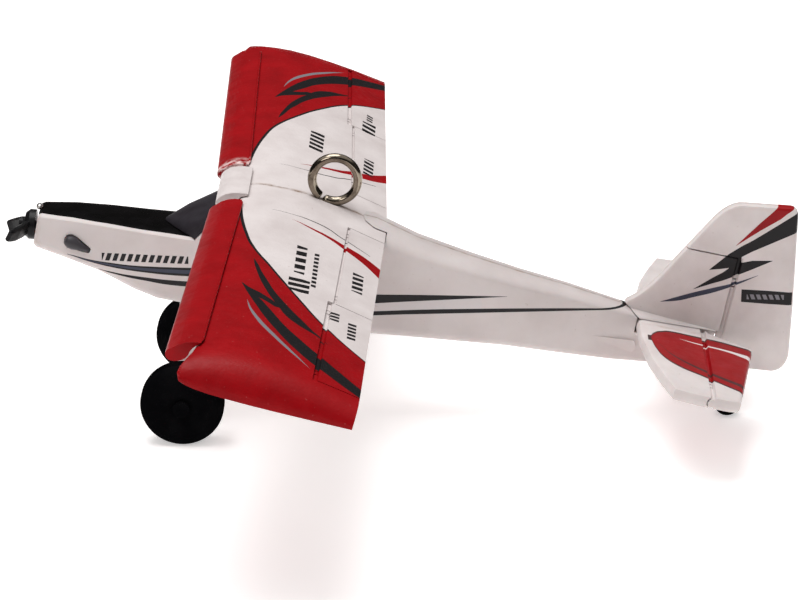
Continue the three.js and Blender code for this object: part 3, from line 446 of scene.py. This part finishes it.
tailPattern = {
    "panel": [(-60.0, 8.0, 28.0), (-54.5, 6.5, 24.6), (-51.7, 5.8, 22.9), (-49.1, 5.3, 21.3), (-46.3, 5.2, 19.5),
              (-43.1, 5.0, 17.5), (-41.1, 5.7, 15.1), (-40.0, 6.9, 12.0), (-39.5, 8.2, 9.2)],
    "paleLine": [(-60.0, 9.8, 13.2), (-53.4, 8.5, 9.9), (-50.1, 7.75, 8.35), (-46.2, 7.4, 7.75),
                 (-43.7, 6.9, 6.95)],
    "darkLine": [(-60.0, 24.0, 26.0), (-52.0, 20.3, 21.4), (-46.5, 17.2, 18.0), (-42.3, 13.6, 14.0),
                 (-40.6, 10.4, 10.5)],
    "outline": 0.5,
    "seam": {"at": 3.4, "width": 0.8, "strength": 0.4},
    "scatter": 0.08, "gloss": (0.5, 0.34, 0.46),
}


# White plastic with coordinates level with the ground, from the point the stripes are laid out from.
def whiteBase(name, scatter):
    paint = Paint(name, whitePlastic["colour"], whitePlastic["roughness"], Subsurface_Weight=scatter,
                  Subsurface_Scale=whitePlastic["scatterScale"], Specular_IOR_Level=whitePlastic["shine"])
    vector = paint.place(0.0, (noseX - stance["stripeOriginAft"], 0.0))
    return paint, vector, paint.split(vector)


# The fuselage: its white darkened all over as painted shade of the sides, dirt at the seam and nose, stripes, and
# plain bars over the front ones.
def fuselagePaint(name):
    look = sidePattern
    paint, vector, (ahead, y, up) = whiteBase(name, look["scatter"])
    # painted shade: the moulded white is darkened all over towards the side colour, standing in for the shade the
    # sides are in
    colour = paint.mix(whitePlastic["paintedSideShadeShare"], moulded(paint, vector), whitePlastic["side"])
    haze, front, bars = look["haze"], look["noseDirt"], look["bars"]
    joint = seam(paint, y, look["seam"]["width"], vector, look["seam"]["strength"])
    cloud = paint.times(paint.span(paint.size(y), 0.0, haze["width"], haze["strength"], 0.0),
                        paint.span(paint.noise(vector, haze["scale"]), *haze["range"]))
    colour = paint.mix(paint.either(joint, cloud), colour, whitePlastic["grime"])
    patches = paint.span(paint.noise(vector, front["scale"]), *front["range"], 0.0, front["strength"])
    colour = paint.mix(paint.times(paint.span(ahead, *front["from"]), patches), colour, whitePlastic["grime"])
    between = paint.times(paint.strip(ahead, up, look["between"]), look["betweenShare"])
    colour = paint.mix(between, colour, trimColours["paleGrey"])
    for part in ("frontUpper", "frontLower", "rearUpper", "rearLower"):
        colour = paint.mix(paint.strip(ahead, up, look[part]), colour, trimColours["black"])
    core = [(x, low + (high - low) * look["core"][0], low + (high - low) * look["core"][1])
            for x, low, high in look["frontUpper"]]
    colour = paint.mix(paint.strip(ahead, up, core), colour, trimColours["greyBlue"])
    lettering = paint.times(paint.dashes(ahead, up, bars["middle"], bars["size"], bars["pitch"], bars["lean"]),
                            paint.above(paint.size(y), bars["outFrom"]))
    colour = paint.mix(lettering, colour, trimColours["black"])
    return paint.finish(colour, uneven(paint, vector, *look["gloss"]))


# The fin and rudder: a red wedge, a black bar with its bolt, a blue swoosh, and a black plate with plain bars.
def finPaint(name):
    look = finPattern
    paint, vector, (ahead, y, up) = whiteBase(name, look["scatter"])
    edge, bars = look["seam"], look["plateBars"]
    colour = paint.mix(seam(paint, y, edge["width"], vector, edge["strength"]), moulded(paint, vector),
                       whitePlastic["grime"])
    colour = paint.mix(paint.strip(ahead, up, look["swoosh"]), colour, trimColours["greyBlue"])
    colour = paint.mix(paint.strip(ahead, up, look["wedge"], straight=True), colour, sprayed(paint, vector))
    black = [paint.strip(ahead, up, look[part], straight=True) for part in ("bar", "link", "bolt", "plate")]
    colour = paint.mix(paint.either(*black), colour, trimColours["black"])
    colour = paint.mix(paint.dashes(ahead, up, bars["middle"], bars["size"], bars["pitch"], bars["lean"]), colour,
                       trimColours["grey"])
    return paint.finish(colour, uneven(paint, vector, *look["gloss"]))


# The tailplane: white, with a red leaf on each half that has a dark outline, a pale line and a dark one.
def tailPaint(name):
    look = tailPattern
    paint, vector, (ahead, y, up) = whiteBase(name, look["scatter"])
    out, root = paint.size(y), look["seam"]
    grime = seam(paint, paint.calc("SUBTRACT", out, root["at"]), root["width"], vector, root["strength"])
    colour = paint.mix(grime, moulded(paint, vector), whitePlastic["grime"])
    colour = paint.mix(paint.strip(ahead, out, look["panel"], look["outline"]), colour, trimColours["outline"])
    colour = paint.mix(paint.strip(ahead, out, look["panel"]), colour, sprayed(paint, vector))
    colour = paint.mix(paint.strip(ahead, out, look["darkLine"]), colour, trimColours["outline"])
    colour = paint.mix(paint.strip(ahead, out, look["paleLine"]), colour, whitePlastic["colour"])
    return paint.finish(colour, uneven(paint, vector, *look["gloss"]))


# What all the one-colour plastics share: worn patches, lint, relief and uneven gloss.
plainLook = {
    "cloud": {"scale": 0.3, "range": (0.4, 0.75)},
    "flecks": {"scale": 3.1, "range": (0.74, 0.84), "gain": 3, "lift": 0.06},
    "grain": {"depth": 0.00006, "strength": 0.4},
    "gloss": {"scale": 0.6, "range": (0.3, 0.75), "less": 0.06, "more": 0.1},
}
plainPlastics = {
    "white": {"name": "plainWhite", "colour": whitePlastic["colour"], "worn": whitePlastic["shade"],
              "roughness": 0.38, "grain": 1.2, "shine": whitePlastic["shine"], "lint": 0.15},
    "gloss": {"name": "hatchBlack", "colour": (0.0025, 0.0023, 0.0024), "worn": (0.005, 0.0045, 0.005),
              "roughness": 0.26, "grain": 1.0, "shine": 0.03, "lint": 0.12},
    "slate": {"name": "slateGrey", "colour": (0.019, 0.016, 0.020), "worn": (0.033, 0.030, 0.036),
              "roughness": 0.4, "grain": 1.8, "shine": 0.1, "lint": 0.2},
    "dark": {"name": "exhaustSlate", "colour": (0.028, 0.025, 0.03), "worn": (0.045, 0.042, 0.047),
             "roughness": 0.4, "grain": 1.8, "shine": 0.25, "lint": 0.2},
    "propeller": {"name": "propellerBlack", "colour": (0.004, 0.004, 0.0044), "worn": (0.009, 0.009, 0.010),
                  "roughness": 0.3, "grain": 1.4, "shine": 0.14, "lint": 0.15},
    "tyre": {"name": "tyreBlack", "colour": (0.0025, 0.0025, 0.003), "worn": (0.005, 0.005, 0.0055),
             "roughness": 0.7, "grain": 2.2, "shine": 0.0, "lint": 0.1},
    "hub": {"name": "hubBlack", "colour": (0.003, 0.003, 0.0035), "worn": (0.007, 0.007, 0.007),
            "roughness": 0.6, "grain": 1.8, "shine": 0.05, "lint": 0.1},
}


# One-colour moulded plastic: worn patches, pale flecks, a pebbled skin and uneven gloss.
def plainPlastic(name, colour, worn, roughness, grain, shine, lint):
    cloud, flecks, relief, wander = (plainLook[key] for key in ("cloud", "flecks", "grain", "gloss"))
    paint = Paint(name, colour, roughness, Specular_IOR_Level=shine)
    vector = paint.place()
    base = paint.mix(paint.span(paint.noise(vector, cloud["scale"], 4), *cloud["range"]), colour, worn)
    spots = paint.span(paint.noise(vector, flecks["scale"], 2), *flecks["range"], 0.0, lint)
    pale = tuple(min(1.0, c * flecks["gain"] + flecks["lift"]) for c in colour)
    paint.bump(paint.noise(vector, grain), relief["depth"], relief["strength"])
    patches = paint.span(paint.noise(vector, wander["scale"], 4), *wander["range"],
                         roughness - wander["less"], roughness + wander["more"])
    return paint.finish(paint.mix(spots, base, pale), patches)


platedLook = {
    "tarnishAndDarkReflection": {"scale": 0.55, "range": (0.45, 0.75), "strength": 0.8},
    "relief": {"scale": 4.0, "depth": 0.00002, "strength": 0.25},
    "gloss": {"scale": 1.3, "range": (0.3, 0.8), "less": 0.03, "more": 0.14},
}
platedMetals = {
    # the nickel's near-black patch colour is tarnish and also painted dark reflection bands on the ring
    "nickel": {"name": "darkNickel", "colour": (0.27, 0.23, 0.18), "tarnishAndDarkReflection": (0.02, 0.014, 0.01),
               "roughness": 0.06},
    "steel": {"name": "hingeSteel", "colour": (0.52, 0.51, 0.50), "tarnishAndDarkReflection": (0.25, 0.22, 0.19),
              "roughness": 0.26},
}


# Plated wire: a bright metal with darker patches and fine relief; the patches are tarnish, and on the nickel they
# are also painted dark reflection bands.
def plated(name, colour, tarnishAndDarkReflection, roughness):
    dull, relief, wander = (platedLook[key] for key in ("tarnishAndDarkReflection", "relief", "gloss"))
    paint = Paint(name, colour, roughness, Metallic=1.0)
    vector = paint.place()
    patch = paint.span(paint.noise(vector, dull["scale"], 5), *dull["range"], 0.0, dull["strength"])
    paint.bump(paint.noise(vector, relief["scale"], 2), relief["depth"], relief["strength"])
    shades = paint.span(paint.noise(vector, wander["scale"], 4), *wander["range"],
                        roughness - wander["less"], roughness + wander["more"])
    return paint.finish(paint.mix(patch, colour, tarnishAndDarkReflection), shades)


finishes = {
    "wing": wingPaint("wingPaint"),
    "slat": slatPaint("slatRed"),
    "fuselage": fuselagePaint("fuselageWhite"),
    "fin": finPaint("finWhite"),
    "tail": tailPaint("tailWhite"),
    **{key: plainPlastic(**look) for key, look in plainPlastics.items()},
    **{key: plated(**look) for key, look in platedMetals.items()},
}
print("finishes made:", len(finishes))


def bodyOf(node):
    return frame["nodes"][node]["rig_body"]


# mergeDistance and edgeRound are metres
trims = {"mergeDistance": 0.00001, "flatAngle": 0.6, "sharpAngle": 33.0, "edgeRound": 0.00013, "edgeSteps": 2}


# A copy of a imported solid: its vertices merged, flat triangles joined, edges rounded and the rest shaded smooth.
def trimmed(node, finish):
    mesh = frame["nodes"][node].data.copy()
    mesh.name = node + "_skin"
    shell = bmesh.new()
    shell.from_mesh(mesh)
    bmesh.ops.remove_doubles(shell, verts=shell.verts, dist=trims["mergeDistance"])
    bmesh.ops.dissolve_limit(shell, angle_limit=math.radians(trims["flatAngle"]), verts=shell.verts,
                             edges=shell.edges)
    bmesh.ops.recalc_face_normals(shell, faces=shell.faces)
    for face in shell.faces:
        face.smooth = True
        face.material_index = 0
    for side in shell.edges:
        side.smooth = side.is_manifold and math.degrees(side.calc_face_angle(0)) < trims["sharpAngle"]
    shell.to_mesh(mesh)
    shell.free()
    mesh.materials.clear()
    mesh.materials.append(finish)
    piece = bpy.data.objects.new(node + "_skin", mesh)
    bpy.context.scene.collection.objects.link(piece)
    rounding = piece.modifiers.new("edges", "BEVEL")
    rounding.width = trims["edgeRound"]
    rounding.segments = trims["edgeSteps"]
    rounding.limit_method = "ANGLE"
    rounding.angle_limit = math.radians(trims["sharpAngle"])
    rounding.use_clamp_overlap = True
    rounding.harden_normals = False
    even = piece.modifiers.new("shading", "WEIGHTED_NORMAL")
    even.keep_sharp = True
    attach(piece, bodyOf(node))
    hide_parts(node)


skinOf = {
    "wing": ["wing_left", "wing_right", "flap_left", "flap_right", "aileron_left", "aileron_right"],
    "slat": ["slat_left", "slat_right"],
    "fuselage": ["fuselage_left", "fuselage_right"],
    "fin": ["fin", "rudder"],
    "tail": ["stabilizer", "elevator_left", "elevator_right"],
    "white": ["centre_fairing", "gear_leg_left", "gear_leg_right"],
    "gloss": ["nose_hatch"],
    "slate": ["windshield", "side_window_left", "side_window_right"],
    "dark": ["exhaust_left", "exhaust_right"],
    "propeller": ["propeller"],
    "hub": ["tail_fork"],
}
for finish, nodes in skinOf.items():
    for node in nodes:
        trimmed(node, finishes[finish])
print("skins made")

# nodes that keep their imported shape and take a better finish
carried = {
    "steel": ["aileron_wire_left", "aileron_wire_right", "elevator_wire", "flap_wire_left", "flap_wire_right",
              "rudder_wire", "wing_joiner", "tail_axle"],
    "propeller": ["propeller_shaft"],
    "tyre": ["main_axle_left", "main_axle_right"],
}
for finish, nodes in carried.items():
    for node in nodes:
        mesh = frame["nodes"][node].data
        mesh.materials.clear()
        mesh.materials.append(finishes[finish])


# A grid of points (rows u, columns v, xyz) as one smooth mesh, joined round in v, and in u where it closes.
def surface(name, points, finish, body, node=None, closeU=False, sharp=40.0):
    rows, columns = points.shape[:2]
    uu, vv = np.meshgrid(np.arange(rows if closeU else rows - 1), np.arange(columns), indexing="ij")
    nextU, nextV = (uu + 1) % rows, (vv + 1) % columns
    faces = np.stack([uu * columns + vv, nextU * columns + vv, nextU * columns + nextV, uu * columns + nextV], -1)
    mesh = bpy.data.meshes.new(name)
    mesh.from_pydata((points.reshape(-1, 3) * mm).tolist(), [], faces.reshape(-1, 4).tolist())
    shell = bmesh.new()
    shell.from_mesh(mesh)
    bmesh.ops.remove_doubles(shell, verts=shell.verts, dist=1e-6)
    bmesh.ops.holes_fill(shell, edges=[e for e in shell.edges if e.is_boundary], sides=0)
    bmesh.ops.recalc_face_normals(shell, faces=shell.faces)
    for face in shell.faces:
        face.smooth = True
    for side in shell.edges:
        side.smooth = math.degrees(side.calc_face_angle(0)) < sharp
    shell.to_mesh(mesh)
    shell.free()
    mesh.materials.append(finish)
    piece = bpy.data.objects.new(name, mesh)
    bpy.context.scene.collection.objects.link(piece)
    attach(piece, body)
    if node:
        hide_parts(node)


# A profile of (radius, across) points swept round the wheel's axis, which runs along Y: x = r cos t, z = r sin t.
def turnedProfile(profile, centre, steps):
    t = np.linspace(0, 2 * np.pi, steps, endpoint=False)[:, None]
    r, w = np.array(profile, float).T
    x = centre[0] + np.cos(t) * r[None, :]
    z = centre[2] + np.sin(t) * r[None, :]
    y = centre[1] + np.ones_like(t) * w[None, :]
    return np.stack([x, y, z], -1)


mainTyre = {"shoulder": 1.5, "groove": 0.12, "grooves": 3, "sideDish": 0.10, "rimAt": 0.62, "bore": 0.78,
            "steps": 160}
tailTyre = {"shoulder": 0.6, "groove": 0.06, "grooves": 1, "sideDish": 0.15, "rimAt": 0.55, "bore": 0.5,
            "steps": 96}
tyreShape = {
    "hub": 1.6,                  # the hub's depth, as a share of the side's dish
    "side": [(0.42, 1.6), (0.48, 0.4), (0.92, 0.9), (1.0, 0.15), (1.06, 0.0)],   # shares of rim radius and dish
    "shoulderSteps": 9, "grooveTop": 0.16, "grooveFoot": 0.09, "grooveSpread": 0.2, "sharp": 38.0,
}


# One side from the bore out (dished side, rim step, half round shoulder), then the tread's rings, then the
# side mirrored, as (radius, across).
def tyreProfile(radius, width, look):
    shape, half, shoulder = tyreShape, width / 2, look["shoulder"]
    rim, dish = radius * look["rimAt"], look["sideDish"]
    side = [(look["bore"], -half + dish * shape["hub"])]
    side += [(rim * out, -half + dish * deep) for out, deep in shape["side"]]
    side += [(radius - shoulder + shoulder * math.sin(a), -half + shoulder - shoulder * math.cos(a))
             for a in np.radians(np.linspace(0, 90, shape["shoulderSteps"]))]
    spacing = 2 * (half - shoulder) / (look["grooves"] + shape["grooveSpread"])
    foot, top, bottom = radius - look["groove"], shape["grooveTop"], shape["grooveFoot"]
    tread = []
    for i in range(look["grooves"]):
        middle = (i - (look["grooves"] - 1) / 2) * spacing
        tread += [(radius, middle - top), (foot, middle - bottom), (foot, middle + bottom), (radius, middle + top)]
    return side + tread + [(r, -w) for r, w in reversed(side)]


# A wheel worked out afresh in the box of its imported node.
def wheelPiece(name, node, look):
    low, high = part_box(node)
    centre, size = [(a + b) / 2 / mm for a, b in zip(low, high)], [(b - a) / mm for a, b in zip(low, high)]
    points = turnedProfile(tyreProfile(size[0] / 2, size[1], look), centre, look["steps"])
    surface(name, points, finishes["tyre"], bodyOf(node), node, closeU=True,
            sharp=tyreShape["sharp"])


wheelPiece("tyre_left", "main_wheel_left", mainTyre)
wheelPiece("tyre_right", "main_wheel_right", mainTyre)
wheelPiece("tyre_tail", "tail_wheel", tailTyre)
print("wheels made")

eyeWire = {
    "at": (-40.95, 15.55), "loopRadius": 3.29, "wireRadius": 0.67, "loopStart": -57.0, "loopTurn": 338.0,
    "loopSteps": 150, "endSteps": 8, "endLength": 0.3, "endReach": 0.95, "endRound": 0.02,
    "shankShift": 0.6, "shankEnd": -9.6, "shankSteps": 120, "bendRate": 14, "bendLead": 0.12,
    "threadPitch": 0.75, "threadDepth": 0.09, "threadTop": -5.2, "pointLength": 1.2, "pointShare": 0.15,
    "sides": 28, "sharp": 60.0,
}


# A round wire: at each point of the path, a circle of the given radius, spanned by inPlane and the line square
# to it and to the path.
def wireAlong(path, radii, sides, inPlane):
    tangent = np.gradient(path, axis=0)
    tangent /= np.linalg.norm(tangent, axis=1)[:, None]
    across = np.cross(tangent, inPlane)
    a = np.linspace(0, 2 * np.pi, sides, endpoint=False)
    ring = (np.cos(a)[None, :, None] * across[:, None, :]
            + np.sin(a)[None, :, None] * np.array(inPlane)[None, None, :])
    return path[:, None, :] + ring * radii[:, None, None]


# The loop as an open circle with a rounded free end, its last part bending down into a straight threaded shank.
def eyePoints():
    e = eyeWire
    t = np.radians(e["loopStart"] + e["loopTurn"] * np.linspace(0, 1, e["loopSteps"]))
    loop = np.stack([np.cos(t) * e["loopRadius"], 0 * t, np.sin(t) * e["loopRadius"]], -1)
    loopRadii = np.full(len(t), e["wireRadius"])
    rise = np.linspace(0, 1, e["endSteps"])
    endRadii = e["wireRadius"] * np.sqrt(np.clip(1 - (1 - rise) ** 2, e["endRound"], 1))
    first = loop[0] - (loop[1] - loop[0]) / np.linalg.norm(loop[1] - loop[0]) * e["endLength"]
    end = first + (loop[0] - first) * rise[:, None] * e["endReach"]
    top = loop[-1]
    down = np.linspace(0, 1, e["shankSteps"])[1:]
    bend = 1 - np.exp(-down * e["bendRate"])
    heading = (loop[-1] - loop[-2]) / np.linalg.norm(loop[-1] - loop[-2])
    x = top[0] + heading[0] * e["bendLead"] * bend + (e["shankShift"] - top[0]) * bend
    z = top[2] + (e["shankEnd"] - top[2]) * down
    shank = np.stack([x, 0 * x, z], -1)
    ridge = e["threadDepth"] * np.sin(2 * np.pi * z / e["threadPitch"]) - e["threadDepth"]
    taper = np.clip((z - e["shankEnd"]) / e["pointLength"], e["pointShare"], 1)
    shankRadii = (e["wireRadius"] + np.where(z < e["threadTop"], ridge, 0)) * taper
    points = wireAlong(np.concatenate([end, loop, shank]), np.concatenate([endRadii, loopRadii, shankRadii]),
                       e["sides"], [0.0, 1.0, 0.0])
    return np.stack(fromNose(points[..., 0] + e["at"][0], points[..., 1], points[..., 2] + e["at"][1]), -1)


surface("eye_ring", eyePoints(), finishes["nickel"], "airframe", "eye_screw",
        sharp=eyeWire["sharp"])
print("eye made")

blister = {
    "tail": (-94.6, 0.4), "nose": (-87.4, 2.3), "halfHeight": 0.9, "depth": 0.85, "flank": (2.30, 1.75),
    "narrowing": 0.8, "point": 0.02, "start": 0.06, "sunk": (0.25, 0.35), "grid": (40, 21),
}


# A long thin blister on the fuselage's flank, u from tail to nose and v up its height: it stands
# depth * sqrt(1 - v^2) * (1 - u)^0.5 * sqrt(u / start, at most 1) proud, and narrows as (1 - u)^narrowing.
def strake(side):
    look = blister
    u = np.linspace(0, 1, look["grid"][0])[:, None]
    v = np.linspace(-1, 1, look["grid"][1])[None, :]
    x = look["tail"][0] + (look["nose"][0] - look["tail"][0]) * u
    z = look["tail"][1] + (look["nose"][1] - look["tail"][1]) * u
    wide = look["halfHeight"] * (1 - u) ** look["narrowing"] + look["point"]
    wall = look["flank"][1] + (look["flank"][0] - look["flank"][1]) * u
    proud = (look["depth"] * np.sqrt(np.clip(1 - v ** 2, 0, 1)) * (1 - u) ** 0.5
             * np.clip(u / look["start"], 0, 1) ** 0.5)
    outer = np.stack(fromNose(x + 0 * v, side * (wall - look["sunk"][0] + proud + 0 * v), z + wide * v), -1)
    inner = outer.copy()
    inner[..., 1] = side * (wall - look["sunk"][1] + 0 * v)
    return np.concatenate([outer, inner[:, ::-1]], 1)


for label, side in (("left", 1), ("right", -1)):
    surface("flank_blister_" + label, strake(side), finishes["white"], "airframe")
print("blisters made")

bead = {"behind": 0.5, "height": 1.0, "from": 8.4, "to": 63.6, "sweep": 0.03, "radius": 0.17, "sides": 12,
        "steps": 90, "taper": 0.5, "endShare": 0.05}


# A thin rod along the joint of slat and wing, following the sweep, its ends tapered.
def beadPoints(side):
    out = np.linspace(bead["from"], bead["to"], bead["steps"])
    x = -bead["behind"] + bead["sweep"] * out
    path = np.stack(fromWing(x, side * out, np.full_like(out, bead["height"])), -1)
    ends = np.clip(np.minimum(out - bead["from"], bead["to"] - out) / bead["taper"], bead["endShare"], 1)
    return wireAlong(path, bead["radius"] * ends, bead["sides"], [0.0, 0.0, 1.0])


for label, side in (("left", 1), ("right", -1)):
    surface("slat_bead_" + label, beadPoints(side), finishes["slat"], "airframe")

knobGrid = (25, 48)
knobs = {
    "tail_lug": {"centre": (-99.1, 0.2, 3.8), "radii": (0.85, 0.7, 0.95), "finish": "white"},
    "nose_nub": {"centre": (0.15, 0.2, 2.75), "radii": (0.5, 0.7, 0.45), "finish": "steel"},
}


# An ellipsoid: centre + radii * (cos u cos v, cos u sin v, sin u).
def knob(centre, radii):
    u = np.linspace(-np.pi / 2, np.pi / 2, knobGrid[0])[:, None]
    v = np.linspace(0, 2 * np.pi, knobGrid[1], endpoint=False)[None, :]
    x = centre[0] + radii[0] * np.cos(u) * np.cos(v)
    y = centre[1] + radii[1] * np.cos(u) * np.sin(v)
    z = centre[2] + radii[2] * np.sin(u) + 0 * v
    return np.stack(fromNose(x, y, z), -1)


for name, look in knobs.items():
    surface(name, knob(look["centre"], look["radii"]), finishes[look["finish"]], "airframe")
print("beads and knobs made")

# lengths in metres, powers in watts
studio = {
    "floor": (0.90, 0.89, 0.885), "floorReach": 3.0, "floorRoughness": 0.85, "floorGlow": 0.48,
    "glowColour": (1.0, 0.985, 0.98), "floorPatch": 0.02, "floorShade": 0.985,
    "sky": (0.78, 0.765, 0.76), "dim": (0.05, 0.047, 0.045), "backdropStrength": 1.6,
    "skyFrom": 0.50, "skyFull": 0.80,            # the sine of the height above the horizon
    "target": (0.0, 0.0, 0.02),
}
softboxes = {
    "overhead": {"place": (0.08, -0.02, 0.60), "size": (0.5, 0.35), "watts": 3.0, "colour": (1, 1, 1)},
    "frontFill": {"place": (0.30, 0.6, 0.45), "size": (0.25, 0.2), "watts": 0.7, "colour": (1.0, 0.97, 0.95)},
}


# A pale card that glows a little, so that shadows stay faint, and is clear from beneath.
def studioFloor():
    reach = studio["floorReach"]
    mesh = bpy.data.meshes.new("floor")
    mesh.from_pydata([(-reach, -reach, 0), (reach, -reach, 0), (reach, reach, 0), (-reach, reach, 0)], [],
                     [(0, 1, 2, 3)])
    paint = Paint("floorCard", studio["floor"], studio["floorRoughness"])
    base = paint.mix(paint.noise(paint.place(), studio["floorPatch"]), studio["floor"],
                     tuple(c * studio["floorShade"] for c in studio["floor"]))
    paint.shader.inputs["Emission Color"].default_value = (*studio["glowColour"], 1)
    paint.shader.inputs["Emission Strength"].default_value = studio["floorGlow"]
    mesh.materials.append(paint.finish(base))
    choose = paint.nodes.new("ShaderNodeMixShader")
    paint.links.new(paint.nodes.new("ShaderNodeNewGeometry").outputs["Backfacing"], choose.inputs[0])
    paint.links.new(paint.shader.outputs[0], choose.inputs[1])
    paint.links.new(paint.nodes.new("ShaderNodeBsdfTransparent").outputs[0], choose.inputs[2])
    paint.links.new(choose.outputs[0], paint.nodes["Material Output"].inputs["Surface"])
    floor = bpy.data.objects.new("floor", mesh)
    bpy.context.scene.collection.objects.link(floor)


def softbox(name, place, size, watts, colour):
    data = bpy.data.lights.new(name, "AREA")
    data.shape = "RECTANGLE"
    data.size, data.size_y = size
    data.energy = watts
    data.color = colour
    lamp = bpy.data.objects.new(name, data)
    bpy.context.scene.collection.objects.link(lamp)
    lamp.location = place
    lamp.rotation_euler = (Vector(studio["target"]) - Vector(place)).to_track_quat("-Z", "Y").to_euler()


# A room lit from above: bright overhead and dim all round lower down, so that gloss shows dark bands.
# What the camera sees of it behind the floor is plain pale sky.
def studioRoom(tree):
    direction = tree.nodes.new("ShaderNodeTexCoord").outputs["Generated"]
    parts = tree.nodes.new("ShaderNodeSeparateXYZ")
    tree.links.new(direction, parts.inputs[0])

    def ramp(value, low, high):
        node = tree.nodes.new("ShaderNodeMapRange")
        node.interpolation_type = "SMOOTHSTEP"
        tree.links.new(value, node.inputs["Value"])
        node.inputs["From Min"].default_value, node.inputs["From Max"].default_value = low, high
        return node.outputs[0]

    wall = ramp(parts.outputs[2], studio["skyFull"], studio["skyFrom"])
    notSeen = ramp(tree.nodes.new("ShaderNodeLightPath").outputs["Is Camera Ray"], 1.0, 0.0)
    shade = tree.nodes.new("ShaderNodeMix")
    shade.data_type = "RGBA"
    tree.links.new(wall, shade.inputs["Factor"])
    shade.inputs[6].default_value = (*studio["sky"], 1)
    shade.inputs[7].default_value = (*studio["dim"], 1)
    seen = tree.nodes.new("ShaderNodeMix")
    seen.data_type = "RGBA"
    tree.links.new(notSeen, seen.inputs["Factor"])
    seen.inputs[6].default_value = (*(c * studio["backdropStrength"] for c in studio["sky"]), 1)
    tree.links.new(shade.outputs[2], seen.inputs[7])
    tree.links.new(seen.outputs[2], tree.nodes["Background"].inputs["Color"])


studioFloor()
world = bpy.data.worlds.new("studio")
bpy.context.scene.world = world
world.use_nodes = True
studioRoom(world.node_tree)
bpy.context.scene.view_settings.view_transform = "Standard"
bpy.context.scene.view_settings.look = "None"
for name, look in softboxes.items():
    softbox(name, **look)

# place is from the nose face; the sensor's width is millimetres and the clip distances are metres
shot = {"place": (-60.3, 466.3, 168.1), "yaw": 0.93, "down": 21.01, "roll": 0.60, "lens": 153.75,
        "sensor": 36, "clip": (0.01, 20)}
camera = bpy.data.objects.new("camera", bpy.data.cameras.new("camera"))
bpy.context.scene.collection.objects.link(camera)
bpy.context.scene.camera = camera


# Looks along (sin yaw cos down, -cos yaw cos down, -sin down), then rolls about that line.
def aimCamera():
    yaw, down, roll = (math.radians(shot[key]) for key in ("yaw", "down", "roll"))
    look = Vector((math.sin(yaw) * math.cos(down), -math.cos(yaw) * math.cos(down), -math.sin(down)))
    right = look.cross(Vector((0, 0, 1))).normalized()
    up = right.cross(look)
    right, up = math.cos(roll) * right + math.sin(roll) * up, -math.sin(roll) * right + math.cos(roll) * up
    turn = Matrix((right, up, -look)).transposed().to_4x4()
    spot = Vector((noseX + shot["place"][0], shot["place"][1], noseZ + shot["place"][2])) * mm
    camera.matrix_world = Matrix.Translation(spot) @ turn
    camera.data.lens = shot["lens"]
    camera.data.sensor_width = shot["sensor"]
    camera.data.clip_start, camera.data.clip_end = shot["clip"]


aimCamera()
print("studio made")
